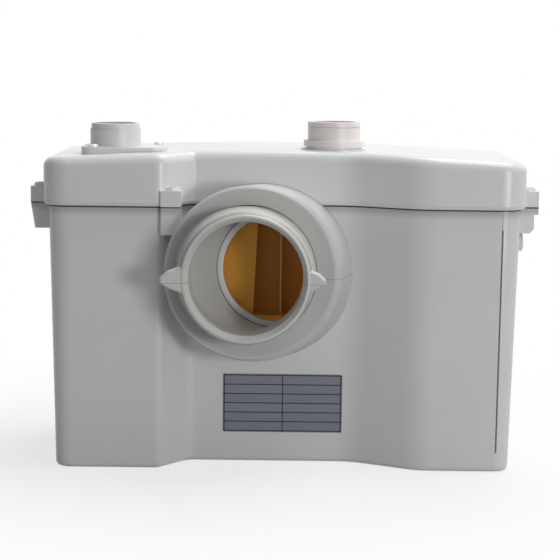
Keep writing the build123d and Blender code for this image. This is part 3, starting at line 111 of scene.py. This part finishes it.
def floor_finish(name, lit, fade_range, rough=0.9):
    """White where it is seen, and the lit colour for the light it throws back. The share of plain
    white grows smoothly with the distance from the middle, over the fade range."""
    material = bpy.data.materials.new(name)
    material.use_nodes = True
    tree = material.node_tree
    shader = tree.nodes["Principled BSDF"]
    shader.inputs["Roughness"].default_value = rough
    shader.inputs["Specular IOR Level"].default_value = 0.0
    direct = seen_directly(tree)
    colour = node(tree, "ShaderNodeMix", data_type="RGBA")
    colour.inputs["A"].default_value = lit
    colour.inputs["B"].default_value = WHITE
    link(tree, direct, 0, colour, "Factor")
    link(tree, colour, "Result", shader, "Base Color")
    far = node(tree, "ShaderNodeVectorMath", operation="LENGTH")
    link(tree, node(tree, "ShaderNodeTexCoord"), "Object", far, 0)
    fade = node(tree, "ShaderNodeMapRange", interpolation_type="SMOOTHSTEP")
    for socket, value in fade_range.items():
        fade.inputs[socket].default_value = value
    link(tree, far, "Value", fade, "Value")
    share = node(tree, "ShaderNodeMath", operation="MULTIPLY")
    link(tree, fade, "Result", share, 0)
    link(tree, direct, 0, share, 1)
    white = node(tree, "ShaderNodeEmission")
    white.inputs["Color"].default_value = WHITE
    both = node(tree, "ShaderNodeMixShader")
    link(tree, share, 0, both, 0)
    link(tree, shader, "BSDF", both, 1)
    link(tree, white, "Emission", both, 2)
    link(tree, both, "Shader", tree.nodes["Material Output"], "Surface")
    return material


FLOOR_LIT = (0.42, 0.42, 0.43, 1.0)
FADE = {"From Min": 0.2, "From Max": 0.55, "To Min": 0.7, "To Max": 1.0}
FLOOR_HALF = 12.0
FLOOR_DROP = 0.2 * MM
ends = np.array([-FLOOR_HALF, FLOOR_HALF])
corners = np.stack([ends[[0, 1, 1, 0]], ends[[0, 0, 1, 1]], np.zeros(4)], axis=1)
floor_mesh = bpy.data.meshes.new("floor")
floor_mesh.from_pydata(corners.tolist(), [], [(0, 1, 2, 3)])
floor = bpy.data.objects.new("floor", floor_mesh)
bpy.context.scene.collection.objects.link(floor)
floor.data.materials.append(floor_finish("floor", FLOOR_LIT, FADE))
floor.location.z = -FLOOR_DROP
print("floor:", 2 * FLOOR_HALF, "metres across")

# %% The lamps
def softbox(name, place, target, size, watts):
    """A rectangular area lamp at a place, facing a target."""
    lamp = bpy.data.lights.new(name, "AREA")
    lamp.shape = "RECTANGLE"
    lamp.size, lamp.size_y = size
    lamp.energy = watts
    holder = bpy.data.objects.new(name, lamp)
    bpy.context.scene.collection.objects.link(holder)
    turn = (Vector(place) - Vector(target)).to_track_quat("Z", "Y").to_matrix().to_4x4()
    holder.matrix_world = Matrix.Translation(place) @ turn
    return holder


softbox("overhead", place=(0.4, 0.22, 1.5), target=(0, 0.1, 0.2), size=(1.4, 0.7), watts=16.5)
softbox("front_right", place=(1.2, -1.75, 0.3), target=(0, 0, 0.15), size=(0.5, 0.4), watts=11)
print("lamps:", [(lamp.name, lamp.energy) for lamp in bpy.data.lights])

# %% The room
def room_light(name, fill_range):
    """White where it is seen. As light, its strength goes evenly from left to right over the
    range."""
    world = bpy.data.worlds.new(name)
    world.use_nodes = True
    tree = world.node_tree
    background = tree.nodes["Background"]
    background.inputs["Color"].default_value = WHITE
    sideways = node(tree, "ShaderNodeSeparateXYZ")
    link(tree, node(tree, "ShaderNodeTexCoord"), "Generated", sideways, 0)
    fill = node(tree, "ShaderNodeMapRange")
    for socket, value in fill_range.items():
        fill.inputs[socket].default_value = value
    link(tree, sideways, "X", fill, "Value")
    strength = node(tree, "ShaderNodeMix", data_type="FLOAT")
    strength.inputs["B"].default_value = 1.0
    link(tree, seen_directly(tree), 0, strength, "Factor")
    link(tree, fill, "Result", strength, "A")
    link(tree, strength, "Result", background, "Strength")
    return world


ROOM_FILL = {"From Min": -1.0, "From Max": 1.0, "To Min": 0.19, "To Max": 0.32}
bpy.context.scene.world = room_light("room", ROOM_FILL)
bpy.context.scene.view_settings.view_transform = "Standard"
print("room light from", ROOM_FILL["To Min"], "on the left to", ROOM_FILL["To Max"], "on the right")

# %% [markdown]
# ## Moulded plastic
#
# ABS mouldings are almost, never quite, even. Three noises do the work. A slow one tints the colour
# and roughness by a few percent, a wavy one with a period of some centimetres bends reflections as
# sink marks do, and a fine one gives the satin grain. Edges are rounded for the light only, with a
# Bevel node, where the CAD leaves them sharp.

# %% Noises, ramps and ranges
def coordinates(tree, scale=(1, 1, 1)):
    """Object coordinates, stretched by a scale."""
    mapping = node(tree, "ShaderNodeMapping", Scale=scale)
    link(tree, node(tree, "ShaderNodeTexCoord"), "Object", mapping, "Vector")
    return mapping


def noise(tree, where, scale, detail=2.0, rough=0.5):
    """Noise with this many cells to the metre."""
    made = node(tree, "ShaderNodeTexNoise", Scale=scale, Detail=detail, Roughness=rough)
    link(tree, where, "Vector", made, "Vector")
    return made


def ramp(tree, source, socket, stops):
    """A colour ramp: stops are (place, colour)."""
    made = node(tree, "ShaderNodeValToRGB")
    elements = made.color_ramp.elements
    while len(elements) < len(stops):
        elements.new(0.5)
    for element, (place, colour) in zip(elements, stops):
        element.position = place
        element.color = (*colour, 1.0)
    link(tree, source, socket, made, "Fac")
    return made


def spread(tree, source, socket, low, high):
    """A value moved from 0..1 to low..high."""
    made = node(tree, "ShaderNodeMapRange")
    made.inputs["To Min"].default_value = low
    made.inputs["To Max"].default_value = high
    link(tree, source, socket, made, "Value")
    return made


# %% Plastic and metal
TINT_CELLS, PATCH_CELLS, WAVE_CELLS, GRAIN_CELLS = 14, 45, 22, 1800
TINT_FROM, TINT_TO = 0.35, 0.65
WAVE_DEEP, GRAIN_DEEP = 0.4 * MM, 0.05 * MM


def moulded(name, light, dark, rough=(0.28, 0.36), wave=0.1, grain=0.04, edge=0.6, **sockets):
    """A moulding: two close colours, uneven roughness, slow waves, fine grain and soft edges. What
    else is given sets the shader's socket of that name."""
    material = bpy.data.materials.new(name)
    material.use_nodes = True
    tree = material.node_tree
    shader = tree.nodes["Principled BSDF"]
    where = coordinates(tree)
    tint_noise = noise(tree, where, TINT_CELLS, detail=4)
    tint = ramp(tree, tint_noise, "Fac", [(TINT_FROM, dark), (TINT_TO, light)])
    link(tree, tint, "Color", shader, "Base Color")
    patchy = spread(tree, noise(tree, where, PATCH_CELLS, detail=3), "Fac", *rough)
    link(tree, patchy, "Result", shader, "Roughness")
    soft_edge = node(tree, "ShaderNodeBevel", samples=4, Radius=edge * MM)
    slow = node(tree, "ShaderNodeBump", Strength=wave, Distance=WAVE_DEEP)
    link(tree, noise(tree, where, WAVE_CELLS, detail=1), "Fac", slow, "Height")
    link(tree, soft_edge, "Normal", slow, "Normal")
    fine = node(tree, "ShaderNodeBump", Strength=grain, Distance=GRAIN_DEEP)
    link(tree, noise(tree, where, GRAIN_CELLS), "Fac", fine, "Height")
    link(tree, slow, "Normal", fine, "Normal")
    link(tree, fine, "Normal", shader, "Normal")
    for key, value in sockets.items():
        shader.inputs[key.replace("_", " ")].default_value = value
    return material


MARK_CELLS, MARK_FROM, MARK_TO, MARK_STRONG = 60, 0.3, 0.7, 0.15


def turned(name, light, dark, rough=(0.22, 0.38), lines=(1, 1, 40), metallic=1.0):
    """Metal with fine marks from the lathe or the press, drawn out across one direction."""
    material = bpy.data.materials.new(name)
    material.use_nodes = True
    tree = material.node_tree
    shader = tree.nodes["Principled BSDF"]
    shader.inputs["Metallic"].default_value = metallic
    where = coordinates(tree, lines)
    marks = noise(tree, where, MARK_CELLS, detail=5, rough=0.6)
    shades = ramp(tree, marks, "Fac", [(MARK_FROM, dark), (MARK_TO, light)])
    link(tree, shades, "Color", shader, "Base Color")
    link(tree, spread(tree, marks, "Fac", *rough), "Result", shader, "Roughness")
    bump = node(tree, "ShaderNodeBump", Strength=MARK_STRONG, Distance=GRAIN_DEEP)
    link(tree, marks, "Fac", bump, "Height")
    link(tree, bump, "Normal", shader, "Normal")
    return material


# %% [markdown]
# The outside is white ABS. The pan connector is a softer white with less shine, and the right
# spigot has a slightly warmer tone. Inside, the chamber is amber and the rest grey, black or metal.

# %% The finishes of the outside
shell_white = moulded("shell_white", (0.75, 0.75, 0.755), (0.73, 0.73, 0.735))
lid_white = moulded(
    "lid_white", (0.77, 0.77, 0.775), (0.755, 0.755, 0.76), rough=(0.27, 0.33), wave=0.06
)
collar_white = moulded("collar_white", (0.58, 0.58, 0.565), (0.56, 0.56, 0.545), rough=(0.36, 0.48))
sleeve_white = moulded(
    "sleeve_white", (0.66, 0.665, 0.64), (0.62, 0.625, 0.60), rough=(0.34, 0.46), edge=0.8
)
lip_white = moulded(
    "lip_white", (0.68, 0.685, 0.66), (0.64, 0.645, 0.62), rough=(0.34, 0.46), edge=0.3
)
spigot_white = moulded("spigot_white", (0.76, 0.75, 0.74), (0.73, 0.72, 0.71), rough=(0.3, 0.42))
warm_white = moulded("warm_white", (0.92, 0.86, 0.84), (0.89, 0.83, 0.81), rough=(0.3, 0.42))
amber = moulded(
    "amber", (0.95, 0.46, 0.07), (0.9, 0.42, 0.06), rough=(0.34, 0.46), edge=0.3,
    Specular_IOR_Level=0.2,
)
print("outside finishes:", len(bpy.data.materials) - 1)

# %% [markdown]
# ## Grooves and parting lines
#
# Where two mouldings meet there is a fine groove, and its bottom is painted dark: painted shade for
# the shadow in the gap. The same goes for the upright groove near the right edge. The pan connector
# and the collar have a parting line, where the halves of the mould met, and it is drawn as painted
# shade of its fine ridge. Each of these is a slim box in Object coordinates, and the colour is
# darker inside it.
# Only the edge of the chamber's rib is lighter: a painted highlight where it catches the light.
# Under the lid's edge the wall darkens little by little, as painted shadow of the lid's overhang.

# %% Paint inside a box and below an edge
def object_parts(tree):
    """The x, y and z of Object coordinates, each by itself."""
    parts = node(tree, "ShaderNodeSeparateXYZ")
    link(tree, node(tree, "ShaderNodeTexCoord"), "Object", parts, 0)
    return parts


def paint_over(material, share, socket, colour):
    """Mixes a colour over the base colour, by the share that this output gives."""
    tree = material.node_tree
    target = tree.nodes["Principled BSDF"].inputs["Base Color"]
    mix = node(tree, "ShaderNodeMix", data_type="RGBA")
    mix.inputs["B"].default_value = (*colour, 1.0)
    tree.links.new(target.links[0].from_socket, mix.inputs["A"])
    link(tree, share, socket, mix, "Factor")
    tree.links.new(mix.outputs["Result"], target)


def inside_box(tree, low, high):
    """1 within the box from low to high and 0 outside: on each axis the distance from the box's
    middle is compared with half its size, and the three answers are multiplied."""
    parts = object_parts(tree)
    answer = None
    for axis, start, end in zip("XYZ", low, high):
        near = node(tree, "ShaderNodeMath", operation="COMPARE")
        near.inputs[1].default_value = (start + end) / 2 * MM
        near.inputs[2].default_value = (end - start) / 2 * MM
        link(tree, parts, axis, near, 0)
        if answer is None:
            answer = near
            continue
        product = node(tree, "ShaderNodeMath", operation="MULTIPLY")
        link(tree, answer, 0, product, 0)
        link(tree, near, 0, product, 1)
        answer = product
    return answer


def draw_line(material, low, high, colour):
    """Paints the part of the surface that lies inside the box in one colour."""
    paint_over(material, inside_box(material.node_tree, low, high), 0, colour)


def shade_below(material, height, deep, colour, most):
    """Painted shadow under an edge at this height: the colour's share is most at the edge, and
    falls smoothly to nothing at the depth below it."""
    tree = material.node_tree
    near = node(tree, "ShaderNodeMapRange", interpolation_type="SMOOTHSTEP")
    near.inputs["From Min"].default_value = (height - deep) * MM
    near.inputs["From Max"].default_value = height * MM
    near.inputs["To Max"].default_value = most
    link(tree, object_parts(tree), "Z", near, "Value")
    paint_over(material, near, "Result", colour)


# %% Painted shade in grooves and parting lines, and a painted highlight, in millimetres
# Colours of painted shade, and of the painted highlight on the rib's edge.
SHADE_DARK, SHADE_MIDDLE, SHADE_SOFT = (0.05, 0.05, 0.05), (0.14, 0.14, 0.14), (0.3, 0.3, 0.3)
GROOVE_SHADE, PAINTED_RIB_HIGHLIGHT = (0.26, 0.26, 0.25), (0.95, 0.72, 0.4)
SEAM_LOW, SEAM_HIGH = 238.6, 239.95
SHADE_DEEP, SHADE_MOST = 9, 0.6
PARTING_LOW, PARTING_HIGH = 177.8, 178.3
LIP_GROOVES = [(-136.9, -135.7), (-134.7, -133.6), (-131.9, -130.9)]
# Painted shadow under the lid's overhang, on the tank's wall.
shade_below(shell_white, SEAM_LOW, SHADE_DEEP, SHADE_SOFT, SHADE_MOST)
# Painted shade in the seam's gap, in the upright groove and along the parting lines.
lines = [
    (shell_white, (-240, -100, SEAM_LOW), (240, 100, SEAM_HIGH), SHADE_DARK),
    (shell_white, (193.4, -89.2, 18), (194.6, -83.5, 222), SHADE_MIDDLE),
    (shell_white, (193.7, -89.2, 222), (194.3, -83.5, 237), SHADE_SOFT),
    (sleeve_white, (-120, -140, PARTING_LOW), (-75, -130, PARTING_HIGH), SHADE_SOFT),
    (sleeve_white, (17, -140, PARTING_LOW), (60, -130, PARTING_HIGH), SHADE_SOFT),
    (collar_white, (25, -110, PARTING_LOW), (70, -50, PARTING_HIGH), SHADE_SOFT),
    # Painted highlight on the lit edge of the chamber's rib.
    (amber, (-3.3, -32.4, 120), (-1.2, -31.6, 240), PAINTED_RIB_HIGHLIGHT),
]
# Painted shade at the bottoms of the lip's grooves.
for front, back in LIP_GROOVES:
    lines.append((lip_white, (-100, front, 110), (40, back, 250), GROOVE_SHADE))
for line in lines:
    draw_line(*line)
print("lines drawn:", len(lines))

# %% [markdown]
# ## The pieces inside
#
# The pipes are grey and the control box, the volute and the impeller black, as they come from the
# mould. Pins and the shaft are ground bright, pressed sheet is duller, screws are zinc plated, and
# the motor's flange and cap are cast. All metals share one recipe: a noise drawn out one way.

# %% The finishes of the inside
grey_plastic = moulded("grey_plastic", (0.36, 0.37, 0.38), (0.31, 0.32, 0.33), edge=0.3)
black_plastic = moulded("black_plastic", (0.03, 0.03, 0.032), (0.018, 0.018, 0.02), edge=0.3)
rubber = moulded("rubber", (0.03, 0.03, 0.03), (0.015, 0.015, 0.016), rough=(0.6, 0.8), edge=0.3)
steel = turned("steel", (0.6, 0.6, 0.61), (0.42, 0.42, 0.43))
bright_steel = turned("bright_steel", (0.74, 0.74, 0.74), (0.6, 0.6, 0.61), rough=(0.16, 0.26))
zinc = turned(
    "zinc", (0.8, 0.8, 0.82), (0.68, 0.68, 0.71), rough=(0.4, 0.55), lines=(8, 8, 8), metallic=0.6
)
cast_aluminium = turned(
    "cast_aluminium", (0.7, 0.7, 0.71), (0.52, 0.52, 0.53), rough=(0.36, 0.55), lines=(6, 6, 6)
)
copper = turned("copper", (0.72, 0.3, 0.13), (0.5, 0.18, 0.07), lines=(1, 1, 60))
board_green = moulded("board_green", (0.03, 0.14, 0.06), (0.02, 0.1, 0.045), edge=0.2)
pale_plastic = moulded("pale_plastic", (0.6, 0.6, 0.56), (0.54, 0.54, 0.5), edge=0.3)
print("finishes so far:", sorted(material.name for material in bpy.data.materials))

# %% Which node gets which finish
FINISHES = {
    shell_white: ("tank_shell", "cable_gland", "gland_locknut"),
    lid_white: ("lid_cover",),
    collar_white: ("inlet_collar",),
    sleeve_white: ("pan_connector",),
    spigot_white: ("discharge_spigot",),
    warm_white: ("aux_spigot",),
    amber: ("macerator_chamber",),
    grey_plastic: (
        "feed_elbow", "riser_pipe", "valve_body", "aux_elbow", "level_bell", "pressure_housing",
        "switch_plunger",
    ),
    black_plastic: (
        "volute_casing", "impeller", "control_box", "control_box_cover", "microswitch", "relay",
    ),
    rubber: (
        "base_pads", "port_seal", "lid_gasket", "shaft_seal", "diaphragm", "discharge_flap",
        "inlet_flap",
    ),
    steel: (
        "grinding_basket", "motor_can", "stator_core", "rotor_core", "blade_carrier",
        "switch_bracket", "switch_lever", "capacitor_clip",
    ),
    bright_steel: (
        "lower_bearing", "upper_bearing", "motor_shaft", "cutting_blades", "discharge_flap_pin",
        "inlet_flap_pin", "lever_pin",
    ),
    zinc: ("motor_screws", "lid_screws", "spigot_screws"),
    cast_aluminium: ("motor_flange", "motor_end_cap"),
    copper: ("stator_windings",),
    board_green: ("circuit_board",),
    pale_plastic: ("terminal_block", "capacitor", "switch_button"),
}
dressed = set()
for finish, names in FINISHES.items():
    for name in names:
        piece = nodes[name]
        piece.data.materials.clear()
        piece.data.materials.append(finish)
        dressed.add(name)
print("nodes with a finish:", len(dressed), "of", len(nodes), sorted(set(nodes) - dressed))

# %% [markdown]
# ## Raised rims round the screws
#
# The front and side screws of the lid sit in a raised round rim, so that a screwdriver doesn't slip
# onto the lug. A rim is a small profile turned about the screw's axis. All three are one mesh, as
# the turned grid is made once and copied to the three places with one addition of arrays.

# %% The rims
RIM_PLACES = np.array([(-221.95, -45.0, 0.0), (221.95, -45.0, 0.0), (-101.0, -85.1, 0.0)]) * MM
RIM_PROFILE = np.array([
    (4.8, 253.8), (6.5, 253.8), (6.5, 256.4), (6.2, 256.8), (5.2, 256.9), (4.8, 256.5),
]) * MM


def turned_rings(name, profile, places, turns=48, order=(0, 1, 2)):
    """Rings with a closed profile. A point at radius r and height h goes to r times the cosine and
    r times the sine of the turn, at height h, and then to each place. Both ways round are closed.
    The order says which of these numbers becomes x, y and z, so that a ring can face the front."""
    angle = np.linspace(0, 2 * np.pi, turns, endpoint=False)
    radius, height = profile[:, 0], profile[:, 1]
    x = radius[None, :] * np.cos(angle)[:, None]
    y = radius[None, :] * np.sin(angle)[:, None]
    z = np.repeat(height[None, :], turns, axis=0)
    one = np.stack([x, y, z], axis=-1).reshape(-1, 3)[:, list(order)]
    points = (one[None] + places[:, None]).reshape(-1, 3)
    index = np.arange(len(one)).reshape(turns, len(profile))
    after, over = np.roll(index, -1, axis=0), np.roll(index, -1, axis=1)
    cell = np.stack([index, after, np.roll(after, -1, axis=1), over], axis=-1).reshape(-1, 4)
    faces = (cell[None] + (np.arange(len(places)) * len(one))[:, None, None]).reshape(-1, 4)
    mesh = bpy.data.meshes.new(name)
    mesh.from_pydata(points.tolist(), [], faces.tolist())
    piece = bpy.data.objects.new(name, mesh)
    bpy.context.scene.collection.objects.link(piece)
    return piece


def smooth_with_edges(piece, sharpest=math.radians(35)):
    """Smooth shading, but edges where the faces turn by more than the angle stay sharp."""
    piece.data.shade_smooth()
    piece.data.set_sharp_from_angle(angle=sharpest)


screw_rims = turned_rings("screw_rims", RIM_PROFILE, RIM_PLACES)
screw_rims.data.materials.append(lid_white)
smooth_with_edges(screw_rims)
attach(screw_rims, "housing")
print("rims:", len(screw_rims.data.polygons), "faces")

# %% [markdown]
# ## The lip of the pan connector
#
# The mouth ends in a sloping lip with three fine grooves, which the pan's outlet is pushed past. It
# is turned like the rims, about the axis that points to the front, so the height of the profile
# becomes y. The lines above paint shade into the bottoms of its grooves.

# %% The lip
LIP_PLACE = np.array([(-33.2, 0.0, 182.0)]) * MM
LIP_PROFILE = np.array([
    (54.2, -138.6), (54.5, -138.9), (55.3, -138.9), (55.6, -138.7), (56.5, -137.0), (56.1, -136.6),
    (56.8, -136.2), (57.5, -134.8), (57.1, -134.4), (57.8, -134.0), (58.5, -132.6), (58.6, -132.0),
    (58.0, -131.5), (58.6, -131.0), (58.6, -129.7), (58.2, -129.0), (54.2, -129.0),
]) * MM
LIP_TURNS = 160
mouth_lip = turned_rings("mouth_lip", LIP_PROFILE, LIP_PLACE, LIP_TURNS, order=(1, 2, 0))
mouth_lip.data.materials.append(lip_white)
smooth_with_edges(mouth_lip)
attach(mouth_lip, "housing")
lip_reach = LIP_PROFILE[:, 0].max() / MM
print("lip radius in mm:", round(lip_reach, 1), "faces:", len(mouth_lip.data.polygons))

# %% [markdown]
# ## The plate on the front
#
# A thin foil plate is stuck to the wall of the recess. The wall leans back by its draft, and at the
# plate's right end it already begins to swing forward, so the foil follows it instead of lying
# flat. It only has the empty ruled fields that such a plate comes with.

# %% The plate's surface
PLATE_LEFT, PLATE_RIGHT = -55.0 * MM, 55.0 * MM
PLATE_LOW, PLATE_HIGH = 28.0 * MM, 83.0 * MM
PLATE_THICK, PLATE_GAP = 0.25 * MM, 0.025 * MM
WALL_Y, RIM_Z, DRAFT = -58.0 * MM, 246.0 * MM, 5.0 * MM
SWEEP_START, SWEEP_R = 47.8 * MM, 59.0 * MM


def recess_wall(x, z):
    """The recess wall's y: its place at the rim, plus the draft in step with the depth below the
    rim, less the sweep's rise past its start, the square of the way over twice the radius."""
    rise = np.clip(x - SWEEP_START, 0, None) ** 2 / (2 * SWEEP_R)
    return WALL_Y + DRAFT * (RIM_Z - z) / RIM_Z - rise


def grid_faces(rows, columns, flip=False):
    """The corner numbers of each cell of a grid of points, laid out row by row."""
    corner = (np.arange(rows - 1)[:, None] * columns + np.arange(columns - 1)[None, :]).ravel()
    steps = [0, 1, columns + 1, columns]
    return corner[:, None] + np.array(steps[::-1] if flip else steps)[None, :]


def foil_plate(name, rows=45, columns=89, corner=1.5 * MM):
    """A foil that follows the wall. Its front is the wall's y less the thickness, and its four
    rounded corners come from pulling the ends of each row in by the corner circle's missing width.
    The back is the front again, carried back towards the wall, and the rim joins their borders."""
    z = np.linspace(PLATE_LOW, PLATE_HIGH, rows)
    into = np.clip(corner - np.minimum(z - PLATE_LOW, PLATE_HIGH - z), 0, None)
    pull = corner - np.sqrt(corner**2 - into**2)
    share = np.linspace(0, 1, columns)
    x = (PLATE_LEFT + pull)[:, None] * (1 - share) + (PLATE_RIGHT - pull)[:, None] * share
    zz = np.repeat(z[:, None], columns, axis=1)
    front = np.stack([x, recess_wall(x, zz) - PLATE_THICK, zz], axis=-1).reshape(-1, 3)
    index = np.arange(rows * columns).reshape(rows, columns)
    border = np.concatenate([index[0], index[1:, -1], index[-1, -2::-1], index[-2:0:-1, 0]])
    back = front + np.array([0, PLATE_THICK - PLATE_GAP, 0])
    behind = border + rows * columns
    rim = np.stack([border, behind, np.roll(behind, -1), np.roll(border, -1)], axis=1)
    back_faces = grid_faces(rows, columns, flip=True) + rows * columns
    faces = np.concatenate([grid_faces(rows, columns), rim, back_faces])
    mesh = bpy.data.meshes.new(name)
    mesh.from_pydata(np.concatenate([front, back]).tolist(), [], faces.tolist())
    piece = bpy.data.objects.new(name, mesh)
    bpy.context.scene.collection.objects.link(piece)
    return piece


data_plate = foil_plate("data_plate")
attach(data_plate, "housing")
print("plate:", len(data_plate.data.polygons), "faces")

# %% [markdown]
# The ruled fields are a brick pattern with its rows straight above each other, turned up from the
# floor onto the plate. Foil is brushed along the plate, so its noise is stretched that way.

# %% The plate's finish
FRAME_IN, RULE_WIDE = 1.3 * MM, 0.5 * MM
FIELDS_ACROSS, FIELDS_UP = 2, 6
BRUSHED_ALONG = (40, 40, 1200)
FOIL_COLOURS = {
    "Color1": (0.17, 0.18, 0.215, 1.0), "Color2": (0.185, 0.195, 0.23, 1.0),
    "Mortar": (0.008, 0.009, 0.018, 1.0),
}


def field_rules(tree, across, up):
    """The empty fields: a brick pattern whose first corner is at the frame's lower left."""
    flat = node(tree, "ShaderNodeMapping")
    flat.inputs["Location"].default_value = (-PLATE_LEFT - FRAME_IN, -PLATE_LOW - FRAME_IN, 0)
    flat.inputs["Rotation"].default_value = (-math.pi / 2, 0, 0)
    link(tree, node(tree, "ShaderNodeTexCoord"), "Object", flat, "Vector")
    rules = node(tree, "ShaderNodeTexBrick", offset=0.0, squash=1.0)
    rules.inputs["Scale"].default_value = 1.0
    rules.inputs["Brick Width"].default_value = (PLATE_RIGHT - PLATE_LEFT - 2 * FRAME_IN) / across
    rules.inputs["Row Height"].default_value = (PLATE_HIGH - PLATE_LOW - 2 * FRAME_IN) / up
    rules.inputs["Mortar Size"].default_value = RULE_WIDE
    rules.inputs["Mortar Smooth"].default_value = 0.1
    for socket, colour in FOIL_COLOURS.items():
        rules.inputs[socket].default_value = colour
    link(tree, flat, "Vector", rules, "Vector")
    return rules


def ruled_foil(name, across, up, metallic=0.35, worn=0.5):
    """Brushed foil with thin dark rules between empty fields. The brushing shades the colour by the
    worn share and spreads the roughness."""
    material = bpy.data.materials.new(name)
    material.use_nodes = True
    tree = material.node_tree
    shader = tree.nodes["Principled BSDF"]
    shader.inputs["Metallic"].default_value = metallic
    brushed = noise(tree, coordinates(tree, BRUSHED_ALONG), 1, detail=3)
    streaks = ramp(tree, brushed, "Fac", [(0.3, (0.8, 0.8, 0.8)), (0.7, (1, 1, 1))])
    shade = node(tree, "ShaderNodeMix", data_type="RGBA", blend_type="MULTIPLY")
    shade.inputs["Factor"].default_value = worn
    link(tree, field_rules(tree, across, up), "Color", shade, "A")
    link(tree, streaks, "Color", shade, "B")
    link(tree, shade, "Result", shader, "Base Color")
    link(tree, spread(tree, brushed, "Fac", 0.3, 0.45), "Result", shader, "Roughness")
    return material


plate_foil = ruled_foil("plate_foil", FIELDS_ACROSS, FIELDS_UP)
data_plate.data.materials.append(plate_foil)
print("fields on the plate:", FIELDS_ACROSS * FIELDS_UP)

# %% Update the scene
bpy.context.view_layer.update()
